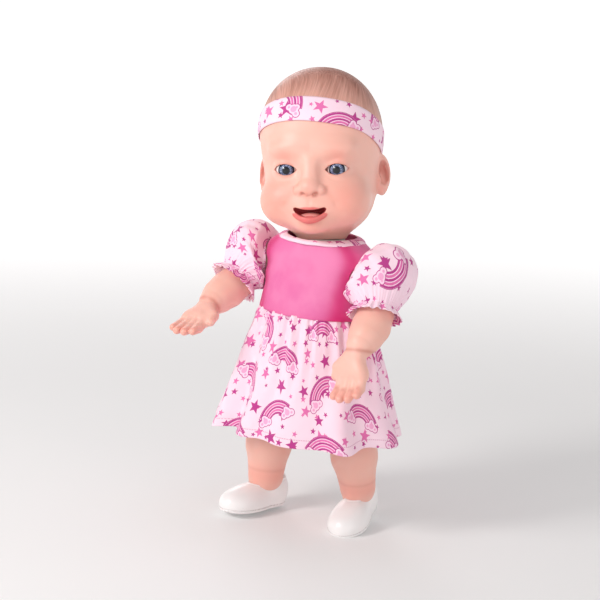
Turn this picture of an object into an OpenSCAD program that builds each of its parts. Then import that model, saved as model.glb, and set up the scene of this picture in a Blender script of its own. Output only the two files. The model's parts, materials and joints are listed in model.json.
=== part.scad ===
// Interactive baby doll: vinyl head and limbs that turn on snap-in plugs in a
// two-part plastic torso, a voice unit inside it, and sewn clothes over it.
// Front is -Y, the doll's own left is +X, +Z is up. Millimetres.

/* [Pose] */
// How far the head is turned to the doll's left at rest, degrees
head_turn = 23; // [-20:1:24]
// How far the face looks up
head_look_up = 6; // [0:1:8]
// How far the crown leans to the doll's right
head_lean = 6; // [0:1:9]
// Forward swing of the left arm at rest
left_arm_swing = 13; // [-8:1:60]
// Forward swing of the right arm at rest
right_arm_swing = 28; // [0:1:60]
// Forward swing of the left leg at rest
left_leg_swing = -11; // [-14:1:10]
// Forward swing of the right leg at rest
right_leg_swing = 2; // [-10:1:10]

/* [Body] */
// Height of the hip axis above the floor
hip_z = 159.5; // [150:0.5:162]
// Length of a leg, from the hip axis to the sole of the shoe
leg_length = 156; // [152:1:160]
// Height of the shoulder axis
shoulder_z = 246; // [242:1:249]
// Height of the flat top of the torso, where the neck turns
neck_z = 270; // [268:1:272]
// Wall of the torso shells
torso_wall = 2.2; // [1.8:0.1:2.6]
// Wall of the soft vinyl head and limbs
vinyl_wall = 2.6; // [2:0.1:3.2]
// How far the feet turn out
toe_out = 12; // [8:1:22]

/* [Joints] */
// Radius of the arm and leg plugs
plug_r = 10; // [8:0.5:11]
// Radius of the neck plug
neck_plug_r = 15; // [12:0.5:16]
// Running gap between a plug and its socket
running_gap = 0.15; // [0.1:0.05:0.3]

/* [Clothes] */
// Thickness of the dress fabric, as sewn
cloth = 1.2; // [0.8:0.1:1.6]
// Height of the waist seam
waist_z = 208; // [200:1:210]
// Height of the skirt's hem
hem_z = 87; // [78:1:96]
// Half width of the skirt at the hem
hem_rx = 94; // [84:1:98]
// Half depth of the skirt at the hem
hem_ry = 76; // [66:1:80]
// Width of the headband
band_w = 22; // [16:1:26]

/* [Voice unit] */
// Radius of the press button under the bodice
button_r = 14; // [11:0.5:15]
// Travel of the press button
button_travel = 2.5; // [1.5:0.5:3]
// Radius of the speaker
speaker_r = 15.5; // [13:0.5:16]
// Diameter of one battery cell
cell_d = 10.2; // [9.8:0.1:10.4]
// Length of one battery cell, without its nub
cell_len = 43.5; // [42:0.5:44]

/* [Hidden] */

// The origin lies on the floor under the middle of the doll's outline.
origin_shift = [0, 14, 0];
joint_y = 2;
seat_x = 42;
crotch_x = 17;
hip_r = 27;
skin = [0.96, 0.74, 0.66];
magenta = [0.87, 0.24, 0.58];
print_pink = [0.98, 0.80, 0.88];
white_vinyl = [0.97, 0.96, 0.96];
shell_pink = [0.93, 0.76, 0.68];

// Torso outline: height, half width, half depth, middle in Y.
torso_rings = [
  [134, 16, 10, 3], [137, 26, 17, 3], [142, 35, 24, 3], [150, 42, 31, 2], [160, 46, 36, 0],
  [172, 49, 39.5, -1.5], [190, 49.6, 41, -2], [208, 49.4, 40, -2], [227, 49.2, 38, 0],
  [242, 49.4, 33, 1], [254, 48.6, 28.5, 2], [263, 42, 24.5, 2], [268, 32.5, 22.5, 2], [270, 27, 21, 2],
];

// Head outline in the head's own frame: height over the neck pivot, half width,
// reach of the face forward, reach of the back of the head.
head_rings = [
  [-2, 23, 20, 22], [2, 26, 40, 24], [6, 31.5, 48, 27], [14, 39, 54, 35], [26, 46, 57.5, 44],
  [40, 50.5, 58.5, 52], [54, 52.5, 57, 58], [68, 53.5, 56.5, 62], [82, 55.5, 58.5, 64.5],
  [97, 57, 58, 65.5], [112, 56, 54.5, 63], [126, 51, 47, 57], [138, 42.5, 37, 47],
  [147, 31, 25.5, 34], [153, 17, 14, 19], [155.5, 4, 4, 5],
];
head_pivot = [0, joint_y, neck_z + 5];
eye_at = [23.5, -42.5, 63];
eye_r = 11;
mouth_at = [0, -52, 21];
band_tilt = 25;
band_at = [0, 0, 94];

// Lofts: rings of the same number of points, joined by triangles.
function side_faces(m, n, closed = false) = [
  for (j = [0 : m - (closed ? 1 : 2)], i = [0 : n - 1])
    let (a = j * n + i, b = j * n + (i + 1) % n, c = (a + n) % (m * n), d = (b + n) % (m * n))
      each [[a, c, d], [a, d, b]]
];
module loft(rings) {
  n = len(rings[0]);
  m = len(rings);
  first = [for (i = [0 : n - 1]) i];
  last = [for (i = [n - 1 : -1 : 0]) (m - 1) * n + i];
  polyhedron([for (r = rings) each r], concat([first], side_faces(m, n), [last]));
}
// A ring-shaped shell, such as a skirt: up the outside, then down the inside.
module loft_loop(rings) {
  n = len(rings[0]);
  m = len(rings);
  polyhedron([for (r = rings) each r], side_faces(m, n, true));
}
function ellipse_ring(z, rx, ry, cy = 0, n = 32) =
  [for (i = [0 : n - 1]) [rx * cos(360 * i / n), cy + ry * sin(360 * i / n), z]];
function lerp(a, b, t) = a + (b - a) * t;
function unit(v) = v / norm(v);

// A smooth chain of balls, each given as [centre, radius].
module chain(balls, grow = 0, sides = 20) {
  for (i = [0 : len(balls) - 2])
    hull()
      for (b = [balls[i], balls[i + 1]])
        translate(b[0]) sphere(r = b[1] + grow, $fn = sides);
}
// A tube of small radius along a list of points.
module tube(path, r, sides = 8) {
  m = len(path);
  loft([
    for (k = [0 : m - 1])
      let (
        t = unit(path[min(k + 1, m - 1)] - path[max(k - 1, 0)]),
        u = unit(cross(t, abs(t[2]) < 0.9 ? [0, 0, 1] : [0, 1, 0])),
        v = cross(t, u)
      )
        [for (i = [0 : sides - 1]) path[k] + r * (u * cos(360 * i / sides) - v * sin(360 * i / sides))]
  ]);
}
module along_x(x, y, z) translate([x, y, z]) rotate([0, 90, 0]) children();
module along_y(x, y, z) translate([x, y, z]) rotate([-90, 0, 0]) children();
module mirror_if(flip) {
  if (flip) mirror([1, 0, 0]) children();
  else children();
}
module swing_arm(angle)
  translate([0, joint_y, shoulder_z]) rotate([-angle, 0, 0]) children();
module swing_leg(angle)
  translate([0, joint_y, hip_z]) rotate([-angle, 0, 0]) children();

// ---------------------------------------------------------------- torso shells
module torso_loft(grow = 0, from = 0, to = 99)
  loft([
    for (r = torso_rings)
      let (lift = grow < 0 && r[0] < 143 ? -grow : grow < 0 && r[0] > 268 ? grow : 0)
        ellipse_ring(r[0] + lift, r[1] + grow, r[2] + grow, r[3], 32)
  ]);
// The room for the thighs: a round socket about the hip axis, open below.
module leg_room(grow = 0)
  for (s = [-1, 1])
    mirror_if(s < 0) {
      along_x(crotch_x - grow, joint_y, hip_z) cylinder(r = hip_r + 1.2 + grow, h = 60, $fn = 64);
      translate([crotch_x - grow, -60, hip_z - 60]) cube([60, 120, 60 + grow]);
    }
module shoulder_room(grow = 0)
  for (s = [-1, 1])
    mirror_if(s < 0)
      along_x(seat_x - grow, joint_y, shoulder_z) cylinder(r = 19.6 + grow, h = 20, $fn = 64);

screw_spots = [[-39, 208], [39, 208], [-25, 253], [25, 253], [0, 144]];
boss_r = 5.2;
head_seat_y = 13;
board_spots = [[-22, 194.5], [22, 194.5], [-22, 225], [22, 225]];
board_y = -7;
button_z = 202;
button_face_y = -40.2;
flange_y = button_face_y + 3.8;
guide_r = button_r + 3.8;
guide_end_y = -24;
speaker_z = 243;
speaker_back_y = -13;
bay_half = 17.2;
bay_low = 183;
bay_high = 230;
bay_y = 21.5;
door_y = 34;
door_t = 2;
switch_z = 247;

module torso_solid() {
  difference() {
    torso_loft();
    leg_room();
    shoulder_room();
  }
}
module torso_hollow() {
  difference() {
    torso_loft(-torso_wall);
    leg_room(torso_wall);
    shoulder_room(torso_wall);
  }
}
module socket_bores() {
  r = plug_r + running_gap;
  for (s = [-1, 1])
    mirror_if(s < 0) {
      along_x(seat_x - 8, joint_y, shoulder_z) cylinder(r = r, h = 12, $fn = 64);
      along_x(crotch_x - 8, joint_y, hip_z) cylinder(r = r, h = 12, $fn = 64);
    }
  translate([0, joint_y, neck_z - 8])
    cylinder(r = neck_plug_r + running_gap, h = 12, $fn = 64);
}
module torso_shell()
  difference() {
    torso_solid();
    torso_hollow();
    socket_bores();
  }
module front_half() intersection() {
  children();
  translate([-80, -80, 100]) cube([160, 80 + joint_y, 200]);
}
module back_half() intersection() {
  children();
  translate([-80, joint_y, 100]) cube([160, 80, 200]);
}
// Parts that grow from the inside of a shell stay within the torso's outline.
module within_torso() intersection() {
  torso_solid();
  union() children();
}

module torso_front() color(shell_pink) {
  difference() {
    union() {
      front_half() torso_shell();
      front_half() within_torso() {
        for (p = screw_spots) along_y(p[0], -60, p[1]) cylinder(r = boss_r, h = 62, $fn = 32);
        for (p = board_spots) along_y(p[0], -60, p[1]) cylinder(r = 3, h = 60 + board_y, $fn = 32);
        along_y(0, -60, button_z) cylinder(r = guide_r, h = 60 + guide_end_y, $fn = 64);
        along_y(0, -60, speaker_z) cylinder(r = speaker_r + 2, h = 60 + speaker_back_y - 4, $fn = 64);
      }
    }
    for (p = screw_spots) along_y(p[0], joint_y - 14, p[1]) cylinder(r = 1.3, h = 20, $fn = 32);
    for (p = board_spots) along_y(p[0], board_y - 8, p[1]) cylinder(r = 1.1, h = 10, $fn = 32);
    along_y(0, -60, button_z) cylinder(r = button_r + 0.3, h = 60, $fn = 64);
    along_y(0, flange_y - 0.1, button_z) cylinder(r = guide_r - 1.6, h = 30, $fn = 64);
    along_y(0, -22, speaker_z) cylinder(r = speaker_r + 0.4, h = 30, $fn = 64);
    along_y(0, -26, speaker_z) cylinder(r = speaker_r - 1.6, h = 30, $fn = 64);
    grille() along_y(0, -60, 0) cylinder(r = 1.2, h = 60, $fn = 24);
  }
}
// Sound holes in two rings about a middle hole.
module grille() {
  translate([0, 0, speaker_z]) children();
  for (ring = [1, 2], i = [0 : 6 * ring - 1])
    let (a = 60 * i / ring)
      translate([4.8 * ring * cos(a), 0, speaker_z + 4.8 * ring * sin(a)]) children();
}

module torso_back() color(shell_pink) {
  difference() {
    union() {
      back_half() torso_shell();
      back_half() within_torso() {
        for (p = screw_spots) along_y(p[0], joint_y, p[1]) cylinder(r = boss_r, h = 60, $fn = 32);
        for (x = [-9.5, 9.5]) along_y(x, 24, switch_z) cylinder(r = 2.4, h = 20, $fn = 32);
        translate([-bay_half - 3.3, bay_y - 1.6, bay_low - 3.6])
          cube([2 * bay_half + 6.6, door_y - bay_y + 1.6, bay_high - bay_low + 13]);
      }
    }
    for (p = screw_spots) {
      along_y(p[0], joint_y - 1, p[1]) cylinder(r = 1.7, h = 60, $fn = 32);
      along_y(p[0], head_seat_y, p[1]) cylinder(r = 3.5, h = 60, $fn = 32);
    }
    translate([-bay_half, bay_y, bay_low]) cube([2 * bay_half, 20, bay_high - bay_low]);
    translate([-bay_half - 1.7, door_y - door_t, bay_low - 2])
      cube([2 * bay_half + 3.4, 10, bay_high - bay_low + 10.4]);
    along_y(0, bay_y + 1, bay_high + 4.5) cylinder(r = 1.1, h = 20, $fn = 32);
    translate([-4.8, 24, switch_z - 2.3]) cube([13.6, 20, 4.6]);
    for (x = [-9.5, 9.5]) along_y(x, 22, switch_z) cylinder(r = 0.9, h = 6, $fn = 24);
  }
}

module torso_screws() color("silver")
  for (p = screw_spots) {
    along_y(p[0], head_seat_y, p[1]) difference() {
      cylinder(r = 3, h = 2.2, $fn = 32);
      translate([-2, -0.4, 1.2]) cube([4, 0.8, 2]);
      translate([-0.4, -2, 1.2]) cube([0.8, 4, 2]);
    }
    along_y(p[0], joint_y - 10, p[1]) cylinder(r = 1.25, h = head_seat_y - joint_y + 10, $fn = 32);
  }

// ---------------------------------------------------------------- voice unit
module press_button() color([0.95, 0.45, 0.65]) {
  along_y(0, button_face_y, button_z) cylinder(r = button_r, h = 6.4, $fn = 64);
  along_y(0, flange_y, button_z) cylinder(r = button_r + 1.8, h = 2.4, $fn = 64);
  along_y(0, flange_y + 1, button_z) cylinder(r = 2.8, h = 20.8, $fn = 32);
}
module button_retainer() color("white")
  difference() {
    along_y(0, guide_end_y, button_z) cylinder(r = guide_r, h = 2, $fn = 64);
    along_y(0, guide_end_y - 1, button_z) cylinder(r = 3.2, h = 4, $fn = 32);
  }
// Compression spring round the button's stem.
module button_spring() color("silver")
  tube([
    for (k = [0 : 60])
      let (a = 360 * 5 * k / 60)
        [6.5 * cos(a), lerp(flange_y + 3.1, guide_end_y - 0.7, k / 60), button_z + 6.5 * sin(a)]
  ], 0.45, 6);
module circuit_board() color([0.1, 0.45, 0.25])
  difference() {
    translate([-26, board_y, 190.6]) cube([52, 1.6, 38]);
    for (p = board_spots) along_y(p[0], board_y - 1, p[1]) cylinder(r = 1.3, h = 4, $fn = 32);
  }
module board_screws() color("silver")
  for (p = board_spots) {
    along_y(p[0], board_y + 1.6, p[1]) cylinder(r = 2.2, h = 1.4, $fn = 32);
    along_y(p[0], board_y - 6, p[1]) cylinder(r = 1.05, h = 7.6, $fn = 32);
  }
// Touch switch behind the button's stem, and the parts on the board's back.
module chips() color([0.12, 0.12, 0.13]) {
  translate([-3, board_y - 3.6, button_z - 3]) cube([6, 3.6, 6]);
  along_y(0, board_y - 5, button_z) cylinder(r = 1.7, h = 1.4, $fn = 32);
  translate([-8, board_y + 1.6, 210]) cube([9, 1.8, 9]);
  translate([6, board_y + 1.6, 212]) cube([7, 2.2, 5]);
  for (x = [-14, 15]) along_y(x, board_y + 1.6, 200) cylinder(r = 2.5, h = 7, $fn = 32);
}
module speaker_frame() color([0.35, 0.35, 0.37])
  difference() {
    union() {
      along_y(0, -22, speaker_z) cylinder(r = speaker_r, h = 2, $fn = 64);
      along_y(0, -20, speaker_z) cylinder(r1 = speaker_r - 1.4, r2 = 9, h = 6, $fn = 64);
      along_y(0, -14, speaker_z) cylinder(r = 8.5, h = 3.4, $fn = 64);
    }
    along_y(0, -22.1, speaker_z) cylinder(r1 = speaker_r - 2.3, r2 = 7.6, h = 7.6, $fn = 64);
  }
module speaker_cone() color([0.1, 0.1, 0.1])
  along_y(0, 0, speaker_z) rotate_extrude($fn = 64)
    polygon([[0, -18.6], [3.4, -17.6], [8, -18.3], [11.4, -20.9], [11.8, -20.9], [8.2, -17.7],
             [3.4, -17], [0, -18]]);
module battery_cells() color([0.2, 0.5, 0.75])
  for (k = [-1, 0, 1])
    translate([k * 11.2, bay_y + 0.4 + cell_d / 2, bay_low + 1.4]) {
      flip = k == 0 ? 1 : 0;
      cylinder(d = cell_d, h = cell_len, $fn = 48);
      translate([0, 0, flip ? -0.8 : cell_len]) cylinder(d = 3.8, h = 0.8, $fn = 32);
    }
module battery_contacts() color("gold")
  for (k = [-1, 0, 1], top = [0, 1])
    translate([k * 11.2 - 4.4, bay_y + 1.6, top ? bay_high - 0.6 : bay_low + 0.1])
      cube([8.8, 8, 0.4]);
module battery_door() color(shell_pink)
  difference() {
    union() {
      within_torso()
        translate([-bay_half - 1.5, door_y - door_t + 0.1, bay_low - 1.8])
          cube([2 * bay_half + 3, door_t - 0.1, bay_high - bay_low + 10]);
      for (i = [0 : 4])
        translate([-6, door_y, bay_low + 3 + 2.4 * i]) cube([12, 0.3, 1.2]);
    }
    along_y(0, door_y - 6, bay_high + 4.5) cylinder(r = 1.5, h = 10, $fn = 32);
    along_y(0, door_y - 1.2, bay_high + 4.5) cylinder(r = 2.8, h = 4, $fn = 32);
  }
module battery_door_screw() color("silver")
  along_y(0, 0, bay_high + 4.5) difference() {
    union() {
      translate([0, 0, door_y - 1.2]) cylinder(r = 2.5, h = 1.1, $fn = 32);
      translate([0, 0, door_y - 9]) cylinder(r = 1, h = 7.9, $fn = 32);
    }
    translate([-1.6, -0.3, door_y - 0.7]) cube([3.2, 0.6, 1]);
    translate([-0.3, -1.6, door_y - 0.7]) cube([0.6, 3.2, 1]);
  }
module switch_body() color([0.2, 0.2, 0.22])
  difference() {
    translate([-11.5, 18, switch_z - 3]) cube([23, 5.8, 6]);
    for (x = [-9.5, 9.5]) along_y(x, 17, switch_z) cylinder(r = 0.95, h = 8, $fn = 24);
    translate([-3.4, 22.4, switch_z - 1.7]) cube([10.8, 3, 3.4]);
  }
module switch_slider() color([0.15, 0.15, 0.16]) {
  translate([-2, 22.6, switch_z - 1.5]) cube([4, 9.4, 3]);
}
module wire_pair(path, gap, r = 0.6)
  for (s = [-1, 1]) tube([for (p = path) p + s * gap], r);
module speaker_wires() color("red")
  wire_pair([[0, -10.4, 244], [0, -7, 243], [0, -4, 238], [0, -3.6, 232], [0, -3.6, 226.5],
             [0, -4.6, 225.2]], [1.6, 0, 0]);
module battery_wires() color("black")
  wire_pair([[9, 19.6, 196], [9, 15, 196], [9, 9, 195], [9, 3, 194], [9, -2, 194],
             [9, -5.2, 194]], [1.4, 0, 0]);
module switch_wires() color("blue")
  wire_pair([[3, 17.8, 247], [3, 13, 246], [5, 7, 240], [8, 1, 231], [9, -3, 225.5],
             [9, -5.2, 224.5]], [1.3, 0, 0]);

// ---------------------------------------------------------------- dress
function torso_at(z) =
  let (
    k = max([for (i = [0 : len(torso_rings) - 2]) if (torso_rings[i][0] <= z) i]),
    t = (z - torso_rings[k][0]) / (torso_rings[k + 1][0] - torso_rings[k][0])
  )
    lerp(torso_rings[k], torso_rings[k + 1], t);
function dress_ring(z, grow, n = 32) =
  let (r = torso_at(z)) ellipse_ring(z, r[1] + grow, r[2] + grow, r[3], n);
bodice_levels = [waist_z + 1, 215, 227, 235, 242, 249, 254, 260, 264, neck_z - 1.4];
// A wrap of cloth that follows the torso between two distances from it.
module wrap(inner, outer, levels)
  loft_loop(concat(
    [for (z = levels) dress_ring(z, outer)],
    [for (i = [len(levels) - 1 : -1 : 0]) dress_ring(levels[i], inner)]
  ));
module dress_bodice() color(magenta)
  difference() {
    wrap(0.5, 0.5 + cloth, bodice_levels);
    shoulder_room();
  }
module dress_collar() color(print_pink)
  translate([0, joint_y, 0]) rotate_extrude($fn = 64)
    polygon([[34.6, neck_z - 1.2], [34.6, neck_z + 0.6], [31.8, neck_z + 3.4], [30.6, neck_z + 3.4],
             [33.4, neck_z + 0.4], [33.4, neck_z - 1.2]]);
// Skirt: height, half width, half depth, depth of the gathers.
skirt_levels = [
  [waist_z, 51.2, 43, 0.2], [197, 54, 46, 0.8], [184, 61, 51.5, 1.2], [164, 70, 59, 1.8],
  [136, 79.5, 65.5, 2.4], [106, 88, 71.5, 3.1], [hem_z, hem_rx, hem_ry, 3.6],
];
skirt_folds = 14;
function skirt_ring(level, grow, n = 56) = [
  for (i = [0 : n - 1])
    let (a = 360 * i / n, w = grow + level[3] * cos(skirt_folds * a))
      [(level[1] + w) * cos(a), -2 + (level[2] + w) * sin(a), level[0]]
];
module dress_skirt() color(print_pink) {
  last = len(skirt_levels) - 1;
  loft_loop(concat(
    [for (i = [last : -1 : 0]) skirt_ring(skirt_levels[i], 0)],
    [for (i = [0 : last]) skirt_ring(skirt_levels[i], -cloth)]
  ));
}
// The back opening: one edge laps over the other with a closing tape between.
module back_strip(half, low, high) intersection() {
  union() children();
  translate([-half, 10, low]) cube([2 * half, 60, high - low]);
}
module placket_tape() color("white")
  back_strip(6, waist_z + 6, 260) wrap(1.9, 2.8, bodice_levels);
module dress_placket() color(magenta)
  back_strip(9, waist_z + 4, 264) wrap(3, 4, bodice_levels);

// ---------------------------------------------------------------- head
function head_at(z) =
  let (
    k = max([for (i = [0 : len(head_rings) - 2]) if (head_rings[i][0] <= z) i]),
    t = (z - head_rings[k][0]) / (head_rings[k + 1][0] - head_rings[k][0])
  )
    lerp(head_rings[k], head_rings[k + 1], t);
function head_ring(r, grow, n = 28) = [
  for (i = [0 : n - 1])
    let (a = 360 * i / n, s = sin(a))
      [(r[1] + grow) * cos(a), (s < 0 ? r[2] + grow : r[3] + grow) * s, r[0]]
];
module head_loft(grow = 0)
  loft([
    for (i = [0 : len(head_rings) - 1])
      let (r = head_rings[i], up = i == 0 ? -grow : i > 12 ? grow : 0)
        head_ring([r[0] + up, r[1], r[2], r[3]], max(grow, 1 - r[1]))
  ]);
module in_head_frame()
  translate(head_pivot) rotate([0, 0, head_turn]) children();
module tilted() rotate([-head_look_up, -head_lean, 0]) children();
module ear()
  translate([51, 8, 59]) rotate([0, 0, 24]) difference() {
    hull() {
      translate([3, 0, 9]) scale([0.35, 0.8, 1]) sphere(r = 11, $fn = 10);
      translate([1, -2, -9]) scale([0.4, 0.7, 1]) sphere(r = 8, $fn = 8);
      translate([-6, -2, 0]) scale([0.5, 0.5, 1]) sphere(r = 13, $fn = 8);
    }
    hull() {
      translate([8, -1, 7]) scale([0.5, 0.7, 1]) sphere(r = 7, $fn = 8);
      translate([7, -2, -5]) scale([0.5, 0.6, 1]) sphere(r = 5, $fn = 8);
    }
  }
module nose() {
  hull() {
    translate([0, -58, 44]) sphere(r = 7, $fn = 10);
    translate([0, -52, 66]) sphere(r = 5, $fn = 10);
  }
  for (s = [-1, 1])
    hull() {
      translate([s * 7.5, -55, 42]) sphere(r = 5, $fn = 8);
      translate([0, -57, 44]) sphere(r = 6, $fn = 8);
    }
}
module mouth_pocket(grow = 0)
  hull()
    for (x = [-9, 9])
      translate(mouth_at + [x, -12 - grow, 0]) rotate([-90, 0, 0])
        cylinder(r = 4.4 + grow, h = 22 + 2 * grow, $fn = 20);
module lips()
  for (row = [[4.2, 1.8], [-5.4, 2.6]])
    hull()
      for (x = [-1, 0, 1])
        translate([12 * x, -55 + 2.5 * abs(x), mouth_at[2] + row[0] - sign(row[0]) * 1.4 * abs(x)])
          sphere(r = row[1], $fn = 8);
// Soft vinyl head: one casting with the face, the ears and the mouth pocket.
module head_shell() color(skin) in_head_frame() {
  difference() {
    union() {
      tilted() difference() {
        union() {
          head_loft();
          nose();
          lips();
          ear();
          mirror([1, 0, 0]) ear();
        }
        difference() {
          head_loft(-vinyl_wall);
          mouth_pocket(1.8);
        }
        mouth_pocket();
        for (s = [-1, 1]) translate([s * eye_at[0], eye_at[1], eye_at[2]]) sphere(r = eye_r + 0.3, $fn = 24);
      }
      translate([0, 0, -4.6]) cylinder(r = 24.5, h = 9, $fn = 40);
    }
    translate([-70, -80, -64.6]) cube([140, 160, 60]);
    translate([0, 0, -6]) cylinder(r = neck_plug_r + 0.1, h = 30, $fn = 40);
    translate([0, 0, -1]) cylinder(r = 21.8, h = 14, $fn = 40);
  }
}
// Spool that is pressed into the head's neck and turns in the torso's top.
module neck_plug() color("white") in_head_frame()
  rotate_extrude($fn = 64)
    polygon([[9, 1.4], [21.4, 1.4], [21.4, -0.9], [neck_plug_r, -0.9], [neck_plug_r, -7.6],
             [17.4, -7.6], [16.6, -10], [9, -10]]);
function arc(r, from, to, steps = 14) =
  [for (i = [0 : steps]) let (t = lerp(from, to, i / steps)) [r * cos(t), r * sin(t)]];
module eye(s) color([0.35, 0.45, 0.62]) in_head_frame() tilted()
  along_y(s * eye_at[0], eye_at[1], eye_at[2])
    rotate_extrude($fn = 48)
      polygon(concat(arc(eye_r, -90, asin(7 / eye_r)), arc(eye_r - 1.6, asin(7 / (eye_r - 1.6)), -90)));
// Cup that holds an eye in its socket from inside the head.
module eye_cup(s) color("white") in_head_frame() tilted()
  translate([s * eye_at[0], eye_at[1], eye_at[2]]) difference() {
    sphere(r = eye_r + 1.7, $fn = 48);
    sphere(r = eye_r + 0.1, $fn = 48);
    translate([-20, -20, -20]) cube([40, 25.5, 40]);
    translate([0, 0, 0]) rotate([-90, 0, 0]) cylinder(r = 4, h = 20, $fn = 32);
  }
module headband() color(print_pink) in_head_frame() tilted()
  intersection() {
    difference() {
      head_loft(1.9);
      head_loft(0.4);
    }
    translate(band_at) rotate([-band_tilt, 0, 0]) translate([-90, -90, -band_w / 2]) cube([180, 180, band_w]);
  }

// ---------------------------------------------------------------- arms
// Left arm, from the shoulder down to the wrist, in its own frame about the shoulder axis.
arm_balls = [
  [[64, 0, -2], 17.5], [[71, -6, -17], 16.5], [[76, -13, -32], 16.5], [[78, -19, -43], 17],
  [[79, -27, -53], 15.5], [[79, -33, -61], 12.8], [[78.5, -38, -68], 10.8],
];
wrist = arm_balls[6][0];
hand_dir = [0, -0.53, -0.848];
finger_x = [9, 3.2, -3.2, -9];
finger_len = [13, 16, 16.5, 14];
module finger(p, d, len, r, bend)
  chain([[p, r], [p + d * len * 0.5, r * 0.96], [p + d * len * 0.5 + bend * len * 0.6, r * 0.82]], 0, 8);
module hand() {
  hull() {
    translate(wrist + hand_dir * 3) sphere(r = 10, $fn = 12);
    for (x = [-6.5, 6.5]) translate(wrist + hand_dir * 18 + [x, 0, 0]) sphere(r = 8, $fn = 12);
    for (x = [-9, 9]) translate(wrist + hand_dir * 26 + [x, 0, 0]) sphere(r = 5.4, $fn = 8);
  }
  for (i = [0 : 3])
    finger(wrist + hand_dir * 26 + [finger_x[i], 0, 0], unit(hand_dir + [0.01 * finger_x[i], 0, 0]),
           finger_len[i], 4.8, [0, -0.25, -0.968]);
  finger(wrist + hand_dir * 11 + [-8, -2, 0], unit([-0.55, -0.65, -0.5]), 14, 5.1, [-0.1, -0.6, -0.79]);
}
module arm(droop, splay) {
  difference() {
    union() {
      hull() {
        along_x(seat_x + 0.5, 0, 0) cylinder(r = 15, h = 1, $fn = 32);
        along_x(seat_x + 7, 0, 0) cylinder(r = 18, h = 4, $fn = 32);
        translate(arm_balls[0][0]) sphere(r = arm_balls[0][1], $fn = 20);
      }
      chain(arm_balls, 0, 16);
      translate(wrist) rotate([droop, -splay, 0]) translate(-wrist) hand();
    }
    chain([for (b = arm_balls) [b[0], b[1] - vinyl_wall]], 0, 8);
    along_x(seat_x + 3.1, 0, 0) cylinder(r = 14, h = 16, $fn = 32);
    along_x(seat_x - 1, 0, 0) cylinder(r = plug_r + 0.02, h = 10, $fn = 32);
  }
}
// Hard plug: one flange behind the torso's seat, one inside the limb.
module limb_plug(x)
  along_x(x, 0, 0) rotate_extrude($fn = 64)
    polygon([[5, -5.4], [12.2, -5.4], [12.6, -2.9], [plug_r, -2.9], [plug_r, 3.2], [13.4, 3.2],
             [13.4, 5], [5, 5]]);

// Puffed sleeve: middle of each ring, its radius, and its direction.
sleeve_axis = unit([15, -19.5, -63]);
sleeve_top = [62, 4, 28];
sleeve_levels = [
  [0, 8], [2, 18], [6, 27], [13, 32.5], [24, 35.5], [36, 35.5], [48, 32], [58, 26], [64, 21.5],
  [67, 20],
];
sleeve_limit_x = 51.8;
function sleeve_ring(level, grow, n = 28) =
  let (c = sleeve_top + sleeve_axis * level[0], v = unit(cross(sleeve_axis, [0, 1, 0])), u = cross(v, sleeve_axis))
    [
      for (i = [0 : n - 1])
        let (p = c + (level[1] + grow) * (u * cos(360 * i / n) + v * sin(360 * i / n)))
          [max(p[0], sleeve_limit_x - grow), p[1], p[2]]
    ];
module sleeve() {
  last = len(sleeve_levels) - 1;
  difference() {
    loft(concat(
      [for (i = [0 : last]) sleeve_ring(sleeve_levels[i], 0)],
      [for (i = [last : -1 : 1]) sleeve_ring(sleeve_levels[i], -cloth)]
    ));
    along_x(seat_x, 0, 0) cylinder(r = 19.6, h = 20, $fn = 48);
  }
}
// Gathered cuff with a frill below its elastic.
cuff_folds = 12;
function cuff_ring(s, r, wave, n = 48) =
  let (c = sleeve_top + sleeve_axis * s, v = unit(cross(sleeve_axis, [0, 1, 0])), u = cross(v, sleeve_axis))
    [
      for (i = [0 : n - 1])
        let (a = 360 * i / n)
          c + (r + wave * cos(cuff_folds * a)) * (u * cos(a) + v * sin(a))
    ];
module cuff()
  loft_loop([
    cuff_ring(67.3, 20.2, 0), cuff_ring(69.5, 19.6, 0), cuff_ring(75.5, 24.4, 1.8),
    cuff_ring(75.5, 23.2, 1.8), cuff_ring(69.5, 18.4, 0), cuff_ring(67.3, 18.9, 0),
  ]);

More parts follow.
